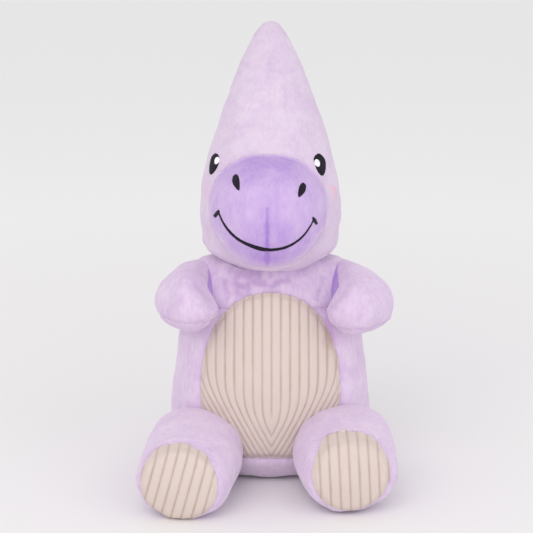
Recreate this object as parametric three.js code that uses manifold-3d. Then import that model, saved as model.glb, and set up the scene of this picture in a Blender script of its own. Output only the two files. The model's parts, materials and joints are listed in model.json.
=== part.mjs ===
// A seated stuffed dinosaur, 360 mm tall, with a tall crest, a round contrast muzzle, a ribbed
// belly panel and ribbed soles. Every fabric panel is a shell of its own over a stuffing core,
// and the head, arms, legs and tail are separate stuffed bodies that turn at their seams.
// Units are millimetres. +Z is up, the toy faces -Y, and the origin is on the ground under the
// middle of its footprint.
import * as THREE from "three";
import { mergeVertices } from "three/addons/utils/BufferGeometryUtils.js";
import Module from "manifold-3d";

const wasm = await Module();
wasm.setup();

// ---------------------------------------------------------------- driving dimensions

const FABRIC = 2; // pile fabric with its backing
const GAP = 0.3; // between pieces that touch
const RELIEF = 3; // room round a limb in the body it turns in
const THREAD = 0.9; // height of the embroidery over the fabric
const REACH = 260; // half the size of a cutting block, larger than any part of the toy
const MIDDLE = 180; // height at which the cutting blocks are centred

// A form is a soft solid drawn round a spine: its half width and half depth at even steps from
// start to end, and how each end closes, as [share of the length, squareness of the curve]. Limbs
// have the radius of the ball at their root as well. Fine and coarse are segment counts.
const FORMS = {
  torso: {
    spine: [[0, 2, -16], [0, 0, 54], [0, 2, 110], [0, 2, 160]],
    halfWidths: [70, 77, 81, 82, 79, 73.5, 68, 61, 52],
    halfDepths: [56, 62, 66, 65, 61, 55, 50, 45, 39],
    start: [0.24, 2],
    end: [0.2, 2.2],
    front: [0, -1, 0],
    fine: [22, 14],
    coarse: [14, 8],
  },
  head: {
    spine: [[0, 0, 161], [0, -3, 208], [0, 5, 262], [0, 20, 312], [0, 40, 358]],
    halfWidths: [55, 57, 57.5, 54.5, 47.5, 39, 30, 20.5, 11],
    halfDepths: [48, 50, 50, 46, 39.5, 32.5, 25.5, 18.5, 10.5],
    start: [0.24, 2.5],
    end: [0.08, 1.9],
    front: [0, -1, 0],
    fine: [22, 16],
    coarse: [14, 10],
  },
  muzzle: {
    spine: [[-2, 0, 217], [-2, -40, 215], [-2, -84, 211]],
    halfWidths: [44, 45.5, 46.5, 46.5, 46],
    halfDepths: [42, 43.5, 44.5, 44.5, 44],
    start: [0.1, 2],
    end: [0.62, 2.15],
    front: [0, 0, 1],
    fine: [20, 12],
    coarse: [12, 7],
  },
  tail: {
    spine: [[0, 26, 30], [0, 70, 25], [0, 104, 18], [0, 135, 16]],
    halfWidths: [27, 27, 22.5, 17, 11],
    halfDepths: [26, 26, 21.5, 16.5, 11],
    start: [0.27, 2],
    end: [0.14, 2],
    front: [0, 0, 1],
    root: 25,
    fine: [14, 9],
    coarse: [10, 6],
  },
};

// The left and right limbs, seen from the toy's front, sit a little differently, as soft ones do.
const ARM = {
  halfWidths: [18.5, 20.5, 22.5, 24, 24, 22, 18.5],
  halfDepths: [18.5, 20.5, 22.5, 24, 24, 22, 18.5],
  start: [0.16, 2],
  end: [0.2, 2.3],
  front: [0, 0, 1],
  root: 18,
  fine: [14, 10],
  coarse: [10, 7],
};
const LEG = {
  halfWidths: [27, 30, 34.5, 37.5, 38.5, 37, 34],
  halfDepths: [25, 27, 30, 31.5, 32, 31, 29.5],
  start: [0.22, 2],
  end: [0.1, 3.2],
  front: [0, 0, 1],
  root: 27,
  fine: [16, 11],
  coarse: [10, 7],
};
const SIDES = [
  {
    name: "left",
    sign: -1,
    arm: {
      pivot: [-46, -2, 151],
      spine: [
        [-29, 5, 150], [-56, -4, 146.5], [-69, -27, 143.5], [-61, -48, 142], [-41, -61, 144.5],
      ],
    },
    leg: {
      pivot: [-50, -36, 26],
      spine: [[-45, -10, 26], [-54, -56, 28], [-61.5, -98, 30], [-67.5, -138, 29]],
    },
  },
  {
    name: "right",
    sign: 1,
    arm: {
      pivot: [46, -2, 151],
      spine: [
        [29, 5, 150.5], [58, -3, 146], [72, -26, 141], [64, -47, 139.5], [44, -60, 142.5],
      ],
    },
    leg: {
      pivot: [49, -34, 28],
      spine: [[44, -8, 28], [50, -48, 30], [55.5, -86, 32], [59.5, -124, 32]],
    },
  },
];

const NECK = { pivot: [0, 0, 173], ball: 21, shaft: 12, foot: 128 };
const ARM_TURN = [-8, 34]; // degrees, closing in front of the chest and opening sideways
const LEG_RAISE = [-8, 20]; // drooping when the toy is lifted, and raised
const TAIL_SWAY = [-18, 18];
const TAIL_PIVOT = [0, 54, 27];

// The belly panel's outline. Its curves leave the foot and the widest point with these pulls.
const BELLY = {
  top: 147,
  bottom: 19,
  middle: 72,
  halfWidth: 55,
  foot: 29,
  footPull: [4, 14],
  lowerPull: 22,
  upperPull: [22, 46],
};
const SIDE_SEAM = 8; // where the front of the torso meets its back
const YOKE_SEAM = 136; // height where the chest yoke meets the flanks, at the armholes
const SEAT_SEAM = 18; // height of the seam between the seat and the panels above it
const POUCH_TOP = 34;
const SOLE = { radius: 29.5, depth: 12 };
const HAND_SEAM = { left: 131.5, right: 126 };
const GUSSET = { x: 45, y: -22, z: 151, radius: 15 }; // in the crook of each arm
const HEAD_SEAM = { at: [0, 4, 200], facing: [0, -1, 0.17] }; // leans with the crest
const SNOUT_FRONT = -40; // the nostrils and smile lie in front of this

// Embroidery: centre in the front view, half sizes, tilt in that view, and how far round the
// head it faces, in degrees.
const EYES = {
  left: { at: [-43, -22, 249], halfWidth: 6.2, halfHeight: 8.4, tilt: -10, yaw: -47 },
  right: { at: [37.5, -26, 248.5], halfWidth: 6.2, halfHeight: 8.8, tilt: 2, yaw: 43 },
};
const GLINTS = {
  left: { at: [-42, -24, 251], halfWidth: 2.3, halfHeight: 2.9, tilt: -10, yaw: -44 },
  right: { at: [35, -28, 250], halfWidth: 2.5, halfHeight: 2.9, tilt: 2, yaw: 41 },
};
const NOSTRILS = {
  left: { at: [-25, -60, 240.5], halfWidth: 3.2, halfHeight: 5.8, tilt: 24, yaw: -14 },
  right: { at: [22, -60, 235.5], halfWidth: 3, halfHeight: 5.2, tilt: -22, yaw: 12 },
};
const BLUSHES = {
  left: { at: [-50, -16, 226.5], halfWidth: 4.5, halfHeight: 4.5, tilt: 0, yaw: -58 },
  right: { at: [47.5, -19, 226.5], halfWidth: 4.5, halfHeight: 4.5, tilt: 0, yaw: 52 },
};
const SMILE = {
  points: [
    [-39.5, 217.5], [-33, 206.5], [-24, 198.5], [-12, 193.5], [0, 191.5], [11, 193], [21, 198],
    [28, 205], [32.5, 213],
  ],
  endHalf: 0.9,
  middleHalf: 1.5,
  steps: 20,
};
const STITCHING = { behind: 20, length: 50 }; // reach of an embroidery cutter about its centre

const SEGMENTS = {
  prism: 10,
  oval: 9,
  rootBall: [10, 7],
  neckBall: [18, 12],
  gusset: [14, 9],
  sole: 28,
  plugRings: 8,
  plugSides: 20,
  armTurns: 3,
  legTurns: 3,
  tailTurns: 2,
};

const THREAD_ROUGHNESS = 0.5;
const COLOURS = {
  paleLilac: 0xe4d3e6,
  lilac: 0xdfcae6,
  violet: 0xc9aee4,
  cord: 0xe2cfc8,
  thread: 0x1d1726,
  whiteThread: 0xf0eef2,
  blushThread: 0xe9b9cc,
  fibre: 0xf3f1ee,
  pouchCloth: 0xd9d2c6,
};

// ---------------------------------------------------------------- solids

function toSolid(geometry) {
  const bare = geometry.clone();
  bare.deleteAttribute("normal");
  bare.deleteAttribute("uv");
  const merged = mergeVertices(bare, 1e-3);
  return new wasm.Manifold(
    new wasm.Mesh({
      numProp: 3,
      vertProperties: merged.attributes.position.array,
      triVerts: new Uint32Array(merged.index.array),
    }),
  );
}

function toGeometry(solid) {
  const { vertProperties, triVerts } = solid.getMesh();
  const geometry = new THREE.BufferGeometry();
  geometry.setAttribute("position", new THREE.BufferAttribute(vertProperties, 3));
  geometry.setIndex(new THREE.BufferAttribute(triVerts, 1));
  geometry.computeVertexNormals();
  return geometry;
}

const vector = (point) => new THREE.Vector3(...point);
const joined = (solids) => solids.reduce((all, one) => all.add(one));

// The value at t, from 0 to 1, of a smooth curve through evenly spaced values.
function along(values, t) {
  const points = values.map((value, i) => new THREE.Vector2(i, value));
  return new THREE.SplineCurve(points).getPoint(t).y;
}

// How much of the full girth is there at share t from an end that closes over share length.
function closing(t, [length, squareness]) {
  if (t >= length) return 1;
  return (1 - (1 - t / length) ** squareness) ** (1 / squareness);
}

// A form's solid, grown outwards by offset, or shrunk where offset is negative.
function grown(form, offset, segments = form.fine) {
  const curve = new THREE.CatmullRomCurve3(form.spine.map(vector));
  const front = vector(form.front);
  const geometry = new THREE.SphereGeometry(1, ...segments);
  const position = geometry.attributes.position;
  for (let i = 0; i < position.count; i++) {
    const t = (1 + position.getY(i)) / 2;
    const ring = Math.hypot(position.getX(i), position.getZ(i)) || 1;
    const centre = curve.getPointAt(t);
    const axis = curve.getTangentAt(t);
    const side = new THREE.Vector3().crossVectors(axis, front).normalize();
    const face = new THREE.Vector3().crossVectors(side, axis);
    const closed = Math.min(closing(t, form.start), closing(1 - t, form.end));
    const width = closed * (along(form.halfWidths, t) + offset);
    const depth = closed * (along(form.halfDepths, t) + offset);
    centre
      .addScaledVector(side, (width * position.getX(i)) / ring)
      .addScaledVector(face, (depth * position.getZ(i)) / ring)
      .addScaledVector(axis, offset * (2 * t - 1));
    position.setXYZ(i, centre.x, centre.y, centre.z);
  }
  return toSolid(geometry);
}

// A block that fills everything on one side of a plane: past point, along direction.
function beyond(point, direction) {
  const block = new THREE.BoxGeometry(2 * REACH, 2 * REACH, 2 * REACH).translate(0, 0, REACH);
  const turn = new THREE.Quaternion().setFromUnitVectors(
    new THREE.Vector3(0, 0, 1),
    vector(direction).normalize(),
  );
  return toSolid(block.applyQuaternion(turn).translate(...point));
}

// A prism with the outline given in the toy's front view, from the middle to well past the face.
function frontPrism(shape) {
  const prism = new THREE.ExtrudeGeometry(shape, {
    depth: REACH,
    bevelEnabled: false,
    curveSegments: SEGMENTS.prism,
  });
  return toSolid(prism.rotateX(Math.PI / 2));
}

// A prism with an oval outline, pointing out of the head at an angle from straight ahead.
function ovalPrism({ at, halfWidth, halfHeight, tilt, yaw }) {
  const oval = new THREE.Shape().absellipse(0, 0, halfWidth, halfHeight, 0, 2 * Math.PI);
  const prism = new THREE.ExtrudeGeometry(oval, {
    depth: STITCHING.length,
    bevelEnabled: false,
    curveSegments: SEGMENTS.oval,
  });
  prism.rotateZ(THREE.MathUtils.degToRad(tilt));
  prism.rotateX(Math.PI / 2);
  prism.translate(0, STITCHING.behind, 0);
  prism.rotateZ(THREE.MathUtils.degToRad(yaw));
  return toSolid(prism.translate(...at));
}

// A solid turned about an axis through a pivot.
function turned(solid, pivot, axis, degrees) {
  const turn = new THREE.Matrix4().makeRotationAxis(
    vector(axis).normalize(),
    THREE.MathUtils.degToRad(degrees),
  );
  const [x, y, z] = pivot;
  return solid.translate(-x, -y, -z).transform(turn.elements).translate(x, y, z);
}

// The room that a limb takes up in its neighbour: a ball round its root, and the limb itself at
// even steps over the range of its hinge.
function socket({ form, pivot, axis, range: [low, high], steps }) {
  const ball = new THREE.SphereGeometry(form.root + RELIEF, ...SEGMENTS.rootBall);
  const limb = grown(form, RELIEF, form.coarse);
  const turns = Array.from({ length: steps }, (_, i) => low + ((high - low) * i) / (steps - 1));
  return joined([
    toSolid(ball.translate(...pivot)),
    ...turns.map((degrees) => turned(limb, pivot, axis, degrees)),
  ]);
}

// ---------------------------------------------------------------- the toy

const dinosaur = new THREE.Group();

// Only the largest body is kept: the sockets cut slivers of fabric free that no seam would hold.
function addPiece(name, solid, colour, roughness = 0.95) {
  const [body] = solid.decompose().sort((one, other) => other.volume() - one.volume());
  const material = new THREE.MeshStandardMaterial({ color: colour, roughness, metalness: 0 });
  const mesh = new THREE.Mesh(toGeometry(body), material);
  mesh.name = name;
  dinosaur.add(mesh);
}

const ground = beyond([0, 0, 0], [0, 0, -1]);
const front = (y) => beyond([0, y, MIDDLE], [0, -1, 0]);
const leftOf = (x) => beyond([x, 0, MIDDLE], [-1, 0, 0]);
const rightOf = (x) => beyond([x, 0, MIDDLE], [1, 0, 0]);
const above = (z) => beyond([0, 0, z], [0, 0, 1]);
const below = (z) => beyond([0, 0, z], [0, 0, -1]);

// A form's fabric shell, with a flat underside where it rests on the ground, and the stuffing
// that fills it.
function skinOf(form) {
  const room = grown(form, -FABRIC, form.coarse).subtract(below(FABRIC));
  return grown(form, 0).subtract(ground).subtract(room);
}

function coreOf(form) {
  return grown(form, -FABRIC - GAP, form.coarse).subtract(below(FABRIC + GAP));
}

// The neck is a turned plug: a shaft down in the torso and a ball up in the head.
function neckPlug(clearance) {
  const { ball, shaft, foot, pivot } = NECK;
  const drop = Math.sqrt(ball ** 2 - shaft ** 2);
  const bottom = Math.atan2(-drop, shaft);
  const radius = ball + clearance;
  const rings = SEGMENTS.plugRings;
  const profile = [
    new THREE.Vector2(0, foot - clearance),
    new THREE.Vector2(shaft + clearance, foot - clearance),
  ];
  for (let i = 0; i < rings; i++) {
    const angle = bottom + ((Math.PI / 2 - bottom) * i) / rings;
    const height = pivot[2] + radius * Math.sin(angle);
    profile.push(new THREE.Vector2(radius * Math.cos(angle), height));
  }
  profile.push(new THREE.Vector2(0, pivot[2] + radius));
  return toSolid(new THREE.LatheGeometry(profile, SEGMENTS.plugSides).rotateX(Math.PI / 2));
}

function bellyOutline(margin) {
  const { middle, footPull, lowerPull, upperPull } = BELLY;
  const side = BELLY.halfWidth + margin;
  const foot = BELLY.foot + margin;
  const top = BELLY.top + margin;
  const bottom = BELLY.bottom - margin;
  const waist = side - footPull[0];
  const ankle = BELLY.bottom + footPull[1];
  const crown = side - upperPull[0];
  const shape = new THREE.Shape();
  shape.moveTo(-foot, bottom);
  shape.bezierCurveTo(-waist, ankle, -side, middle - lowerPull, -side, middle);
  shape.bezierCurveTo(-side, middle + upperPull[1], -crown, top, 0, top);
  shape.bezierCurveTo(crown, top, side, middle + upperPull[1], side, middle);
  shape.bezierCurveTo(side, middle - lowerPull, waist, ankle, foot, bottom);
  shape.closePath();
  return shape;
}

const LIMBS = SIDES.flatMap(({ sign, arm, leg }) => [
  {
    form: { ...ARM, spine: arm.spine },
    pivot: arm.pivot,
    axis: [0, 0, sign],
    range: ARM_TURN,
    steps: SEGMENTS.armTurns,
  },
  {
    form: { ...LEG, spine: leg.spine },
    pivot: leg.pivot,
    axis: [-1, 0, 0],
    range: LEG_RAISE,
    steps: SEGMENTS.legTurns,
  },
]);
const TAIL_LIMB = {
  form: FORMS.tail,
  pivot: TAIL_PIVOT,
  axis: [0, 0, 1],
  range: TAIL_SWAY,
  steps: SEGMENTS.tailTurns,
};

function buildTorso() {
  const sockets = joined([...LIMBS, TAIL_LIMB].map(socket).concat(neckPlug(RELIEF)));
  const skin = skinOf(FORMS.torso).subtract(sockets);
  const core = coreOf(FORMS.torso).subtract(sockets);
  const upper = skin.subtract(below(SEAT_SEAM + GAP));
  const face = upper.intersect(front(SIDE_SEAM));
  const back = upper.subtract(front(SIDE_SEAM + GAP));
  const belly = frontPrism(bellyOutline(0));
  const surround = face.subtract(frontPrism(bellyOutline(GAP)));
  const flanks = surround.intersect(below(YOKE_SEAM));

  addPiece("belly_panel", face.intersect(belly), COLOURS.cord);
  addPiece("chest_yoke", surround.intersect(above(YOKE_SEAM + GAP)), COLOURS.lilac);
  addPiece("left_flank_panel", flanks.intersect(leftOf(0)), COLOURS.lilac);
  addPiece("right_flank_panel", flanks.intersect(rightOf(0)), COLOURS.lilac);
  addPiece("left_back_panel", back.intersect(leftOf(-GAP / 2)), COLOURS.lilac);
  addPiece("right_back_panel", back.intersect(rightOf(GAP / 2)), COLOURS.lilac);
  addPiece("seat_panel", skin.intersect(below(SEAT_SEAM)), COLOURS.lilac);
  addPiece("torso_stuffing", core.intersect(above(POUCH_TOP + GAP)), COLOURS.fibre);
  addPiece("seat_pellet_pouch", core.intersect(below(POUCH_TOP)), COLOURS.pouchCloth);
  addPiece("neck_stuffing", neckPlug(0), COLOURS.fibre);
}

// The embroidery is thread that stands on the fabric: the layer between two grown forms.
function threadLayer(form, level) {
  return grown(form, level + THREAD).subtract(grown(form, level));
}

function smileShape() {
  const middle = new THREE.SplineCurve(SMILE.points.map((p) => new THREE.Vector2(...p)));
  const { endHalf, middleHalf, steps } = SMILE;
  const upper = [];
  const lower = [];
  for (let i = 0; i <= steps; i++) {
    const t = i / steps;
    const at = middle.getPoint(t);
    const tangent = middle.getTangent(t);
    const normal = new THREE.Vector2(-tangent.y, tangent.x);
    const half = endHalf + (middleHalf - endHalf) * Math.sin(Math.PI * t);
    upper.push(at.clone().addScaledVector(normal, half));
    lower.unshift(at.clone().addScaledVector(normal, -half));
  }
  return new THREE.Shape([...upper, ...lower]);
}

function buildHead() {
  const ball = new THREE.SphereGeometry(NECK.ball + RELIEF + 1, ...SEGMENTS.neckBall);
  const ballRoom = toSolid(ball.translate(...NECK.pivot));
  const dome = grown(FORMS.muzzle, 0);
  const cap = skinOf(FORMS.head).subtract(grown(FORMS.muzzle, GAP)).subtract(ballRoom);
  const [, seamY, seamZ] = HEAD_SEAM.at;
  const face = cap.intersect(beyond(HEAD_SEAM.at, HEAD_SEAM.facing));
  const back = cap.subtract(beyond([0, seamY + GAP, seamZ], HEAD_SEAM.facing));
  const snout = dome
    .subtract(grown(FORMS.muzzle, -FABRIC, FORMS.muzzle.coarse))
    .subtract(grown(FORMS.head, GAP));
  const core = coreOf(FORMS.head).add(coreOf(FORMS.muzzle)).subtract(ballRoom);

  addPiece("face_panel", face, COLOURS.paleLilac);
  addPiece("left_crest_panel", back.intersect(leftOf(-GAP / 2)), COLOURS.paleLilac);
  addPiece("right_crest_panel", back.intersect(rightOf(GAP / 2)), COLOURS.paleLilac);
  addPiece("muzzle_panel", snout, COLOURS.violet);
  addPiece("head_stuffing", core, COLOURS.fibre);

  const onHead = threadLayer(FORMS.head, GAP);
  const overEyes = threadLayer(FORMS.head, GAP + THREAD + GAP);
  const onMuzzle = threadLayer(FORMS.muzzle, GAP).intersect(front(SNOUT_FRONT));
  for (const side of ["left", "right"]) {
    const eye = onHead.intersect(ovalPrism(EYES[side]));
    const glint = overEyes.intersect(ovalPrism(GLINTS[side]));
    const nostril = onMuzzle.intersect(ovalPrism(NOSTRILS[side]));
    const blush = onHead.intersect(ovalPrism(BLUSHES[side]));
    addPiece(side + "_eye", eye, COLOURS.thread, THREAD_ROUGHNESS);
    addPiece(side + "_eye_glint", glint, COLOURS.whiteThread, THREAD_ROUGHNESS);
    addPiece(side + "_nostril", nostril, COLOURS.thread, THREAD_ROUGHNESS);
    addPiece(side + "_blush", blush, COLOURS.blushThread, THREAD_ROUGHNESS);
  }
  const smile = onMuzzle.intersect(frontPrism(smileShape()));
  addPiece("smile", smile, COLOURS.thread, THREAD_ROUGHNESS);
}

function buildArm({ name, arm, sign }) {
  const form = { ...ARM, spine: arm.spine };
  const skin = skinOf(form);
  const seam = HAND_SEAM[name];
  const pocket = (margin) => {
    const ball = new THREE.SphereGeometry(GUSSET.radius + margin, ...SEGMENTS.gusset);
    return toSolid(ball.translate(sign * GUSSET.x, GUSSET.y, GUSSET.z));
  };
  const cover = skin.subtract(pocket(GAP));
  addPiece(name + "_arm_panel", cover.intersect(above(seam + GAP)), COLOURS.lilac);
  addPiece(name + "_hand_panel", cover.intersect(below(seam)), COLOURS.lilac);
  addPiece(name + "_underarm_gusset", skin.intersect(pocket(0)), COLOURS.violet);
  addPiece(name + "_arm_stuffing", coreOf(form), COLOURS.fibre);
}

function buildLeg({ name, leg }) {
  const form = { ...LEG, spine: leg.spine };
  const skin = skinOf(form);
  const curve = new THREE.CatmullRomCurve3(leg.spine.map(vector));
  const axis = curve.getTangentAt(1);
  const end = curve.getPointAt(1);
  const sole = (radius, depth) => {
    const barrel = new THREE.CylinderGeometry(radius, radius, 2 * depth, SEGMENTS.sole);
    const turn = new THREE.Quaternion().setFromUnitVectors(new THREE.Vector3(0, 1, 0), axis);
    return toSolid(barrel.applyQuaternion(turn).translate(end.x, end.y, end.z));
  };
  const cover = skin.subtract(sole(SOLE.radius + GAP, SOLE.depth + GAP));
  addPiece(name + "_leg_panel", cover, COLOURS.lilac);
  addPiece(name + "_sole", skin.intersect(sole(SOLE.radius, SOLE.depth)), COLOURS.cord);
  addPiece(name + "_leg_stuffing", coreOf(form), COLOURS.fibre);
}

function buildTail() {
  const skin = skinOf(FORMS.tail);
  addPiece("left_tail_panel", skin.intersect(leftOf(-GAP / 2)), COLOURS.lilac);
  addPiece("right_tail_panel", skin.intersect(rightOf(GAP / 2)), COLOURS.lilac);
  addPiece("tail_stuffing", coreOf(FORMS.tail), COLOURS.fibre);
}

buildTorso();
buildHead();
SIDES.forEach(buildArm);
SIDES.forEach(buildLeg);
buildTail();

const { min, max } = new THREE.Box3().setFromObject(dinosaur);
dinosaur.position.set(-(min.x + max.x) / 2, -(min.y + max.y) / 2, 0);

export default dinosaur;
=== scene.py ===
"""A seated stuffed dinosaur in short pile plush and corduroy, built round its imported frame.

Each stuffed body starts from its own CAD solids. A short cloth simulation lets the stuffing press
the fabric out, the seams draw it in again, and it is then cut into the panels that such a toy is
sewn from. The embroidery is satin stitch laid over the finished fabric.

Lengths are millimetres in the toy's own frame, which has its origin on the ground under the neck,
+Z up, and the toy facing -Y. ``to_row`` and ``from_row`` convert to and from the frame's metres.
"""

import json
import logging
import math
from dataclasses import dataclass, field
from enum import Enum
from functools import partial
from typing import Callable, Iterable, Sequence

import bmesh
import bpy
import numpy as np
from mathutils import Matrix, Vector
from mathutils.bvhtree import BVHTree


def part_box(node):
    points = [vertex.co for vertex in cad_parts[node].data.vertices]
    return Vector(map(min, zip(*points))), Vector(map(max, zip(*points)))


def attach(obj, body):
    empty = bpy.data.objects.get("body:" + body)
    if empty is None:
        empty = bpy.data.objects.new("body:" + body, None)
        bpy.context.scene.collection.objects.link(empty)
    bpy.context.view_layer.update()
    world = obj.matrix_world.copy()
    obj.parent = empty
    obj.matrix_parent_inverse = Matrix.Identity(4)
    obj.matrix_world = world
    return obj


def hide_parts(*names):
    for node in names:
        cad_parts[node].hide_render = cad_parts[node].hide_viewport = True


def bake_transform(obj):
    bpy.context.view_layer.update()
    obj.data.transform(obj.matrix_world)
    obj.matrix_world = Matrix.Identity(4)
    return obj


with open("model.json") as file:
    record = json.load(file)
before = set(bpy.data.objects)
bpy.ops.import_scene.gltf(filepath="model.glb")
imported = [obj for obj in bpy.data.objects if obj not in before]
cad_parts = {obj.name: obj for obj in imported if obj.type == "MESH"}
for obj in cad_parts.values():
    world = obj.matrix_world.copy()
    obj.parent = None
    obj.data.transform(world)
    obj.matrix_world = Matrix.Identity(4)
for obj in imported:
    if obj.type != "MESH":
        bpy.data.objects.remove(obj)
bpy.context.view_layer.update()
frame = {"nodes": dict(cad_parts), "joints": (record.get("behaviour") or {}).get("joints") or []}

LOG = logging.getLogger("stuffed_dinosaur")
MM = 0.001
HEAD_TURNS = (0.0, -22.0, 22.0)  # the torso leaves room for the head at these turns, in degrees

Points = np.ndarray
Rule = Callable[[Points], np.ndarray]


# ------------------------------------------------------------------ the frame, in millimetres


def joint(name: str) -> dict:
    """The frame's joint of that name."""
    return next(j for j in frame["joints"] if j["name"] == name)


NECK = np.array(joint("neck_turn")["pos_m"]) * (1, 1, 0)


def to_row(points: Points) -> Points:
    """Toy millimetres as row-frame metres."""
    return np.asarray(points, float) * MM + NECK


def from_row(points: Points) -> Points:
    """Row-frame metres as toy millimetres."""
    return (np.asarray(points, float) - NECK) / MM


def pivot_of(name: str) -> np.ndarray:
    """Where a joint's axis is, in toy millimetres."""
    return from_row(joint(name)["pos_m"])


def box_of(*nodes: str) -> tuple[np.ndarray, np.ndarray]:
    """The lowest and highest corner of some CAD nodes, in toy millimetres."""
    corners = np.array([[tuple(c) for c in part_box(node)] for node in nodes])
    return from_row(corners[:, 0].min(0)), from_row(corners[:, 1].max(0))


# ------------------------------------------------------------------ numbers on a mesh


def read_points(mesh: bpy.types.Mesh) -> Points:
    """A mesh's vertices, in toy millimetres."""
    flat = np.empty(len(mesh.vertices) * 3)
    mesh.vertices.foreach_get("co", flat)
    return from_row(flat.reshape(-1, 3))


def write_points(mesh: bpy.types.Mesh, points: Points) -> None:
    """Puts a mesh's vertices at these toy millimetres."""
    mesh.vertices.foreach_set("co", to_row(points).astype(np.float32).ravel())
    mesh.update()


def read_normals(mesh: bpy.types.Mesh) -> Points:
    """A mesh's vertex normals."""
    flat = np.empty(len(mesh.vertices) * 3)
    mesh.vertex_normals.foreach_get("vector", flat)
    return flat.reshape(-1, 3)


def read_faces(mesh: bpy.types.Mesh) -> list[tuple[int, ...]]:
    """A mesh's faces as vertex numbers."""
    return [tuple(face.vertices) for face in mesh.polygons]


def set_attribute(mesh: bpy.types.Mesh, name: str, values: np.ndarray) -> None:
    """Stores one number on each vertex, for a material to read."""
    layer = mesh.attributes.get(name) or mesh.attributes.new(name, "FLOAT", "POINT")
    layer.data.foreach_set("value", np.asarray(values, np.float32))


def get_attribute(mesh: bpy.types.Mesh, name: str) -> np.ndarray:
    """The numbers that set_attribute stored."""
    values = np.zeros(len(mesh.vertices), np.float32)
    if name in mesh.attributes:
        mesh.attributes[name].data.foreach_get("value", values)
    return values


def new_object(name: str, points: Points, faces: Sequence[Sequence[int]]) -> bpy.types.Object:
    """A mesh object from toy millimetres and faces, with its origin at the frame's."""
    mesh = bpy.data.meshes.new(name)
    mesh.from_pydata(to_row(points).tolist(), [], [tuple(f) for f in faces])
    mesh.update()
    made = bpy.data.objects.new(name, mesh)
    bpy.context.scene.collection.objects.link(made)
    return made


def select_only(piece: bpy.types.Object) -> None:
    """Makes a piece the one that operators act on."""
    bpy.ops.object.select_all(action="DESELECT")
    piece.select_set(True)
    bpy.context.view_layer.objects.active = piece


def apply_modifier(piece: bpy.types.Object, kind: str, **settings: object) -> None:
    """Adds one modifier to a piece and applies it."""
    select_only(piece)
    modifier = piece.modifiers.new(kind.title(), kind)
    for key, value in settings.items():
        setattr(modifier, key, value)
    bpy.ops.object.modifier_apply(modifier=modifier.name)


def lattice_noise(points: Points, pitch: float, seed: int) -> np.ndarray:
    """Smooth noise between -1 and 1 that is the same on every run.

    Args:
        points: Where to sample, in millimetres.
        pitch: The distance between the noise's lattice points, in millimetres.
        seed: Picks one of many patterns.

    Returns:
        One value for each point.
    """
    scaled = np.asarray(points) / pitch
    cell = np.floor(scaled).astype(np.int64)
    share = scaled - cell
    share = share * share * (3 - 2 * share)
    total = np.zeros(len(scaled))
    for corner in np.ndindex(2, 2, 2):
        x, y, z = (cell + corner).T
        mixed = (x * 73856093) ^ (y * 19349663) ^ (z * 83492791) ^ (seed * 2654435761)
        mixed = (mixed ^ (mixed >> 13)) * 1274126177 & 0x7FFFFFFF
        value = ((mixed >> 8) & 0xFFFF) / 32767.5 - 1
        weight = np.prod(np.where(corner, share, 1 - share), axis=1)
        total += weight * value
    return total


# ------------------------------------------------------------------ finishes


def linear(hex_colour: str) -> tuple[float, float, float, float]:
    """An sRGB hex colour as linear RGBA."""
    channels = [int(hex_colour[i : i + 2], 16) / 255 for i in (1, 3, 5)]
    return (*(c / 12.92 if c <= 0.04045 else ((c + 0.055) / 1.055) ** 2.4 for c in channels), 1.0)


def add_node(
    tree: bpy.types.NodeTree, kind: str, settings: dict | None = None, links: dict | None = None
) -> bpy.types.Node:
    """Adds one shader node.

    Args:
        tree: The material's or world's nodes.
        kind: The node's Blender type, without the ShaderNode prefix.
        settings: Values for its properties, or for its inputs by name or number.
        links: Sockets to plug into its inputs, by name or number.

    Returns:
        The new node.
    """
    node = tree.nodes.new("ShaderNode" + kind)
    for key, value in (settings or {}).items():
        if isinstance(key, str) and hasattr(node, key):
            setattr(node, key, value)
        else:
            node.inputs[key].default_value = value
    for key, socket in (links or {}).items():
        tree.links.new(socket, node.inputs[key])
    return node


def add_ramp(
    tree: bpy.types.NodeTree, socket: bpy.types.NodeSocket, stops: Sequence[tuple[float, str]]
) -> bpy.types.NodeSocket:
    """A colour ramp of hex colours over a value, and its colour socket."""
    node = add_node(tree, "ValToRGB", links={0: socket})
    ramp = node.color_ramp
    while len(ramp.elements) < len(stops):
        ramp.elements.new(1.0)
    for element, (place, colour) in zip(ramp.elements, stops):
        element.position = place
        element.color = linear(colour)
    return node.outputs[0]


@dataclass(frozen=True)
class Finish:
    """A material with a name, made once and shared."""

    name: str

    def material(self) -> bpy.types.Material:
        """The Blender material, made the first time it is asked for."""
        found = bpy.data.materials.get(self.name)
        if found:
            return found
        made = bpy.data.materials.new(self.name)
        made.use_nodes = True
        made.node_tree.nodes.clear()
        shader = self.build(made.node_tree)
        add_node(made.node_tree, "OutputMaterial", links={"Surface": shader.outputs[0]})
        return made

    def build(self, tree: bpy.types.NodeTree) -> bpy.types.Node:
        """Adds this finish's nodes and returns the shader."""
        raise NotImplementedError


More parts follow.
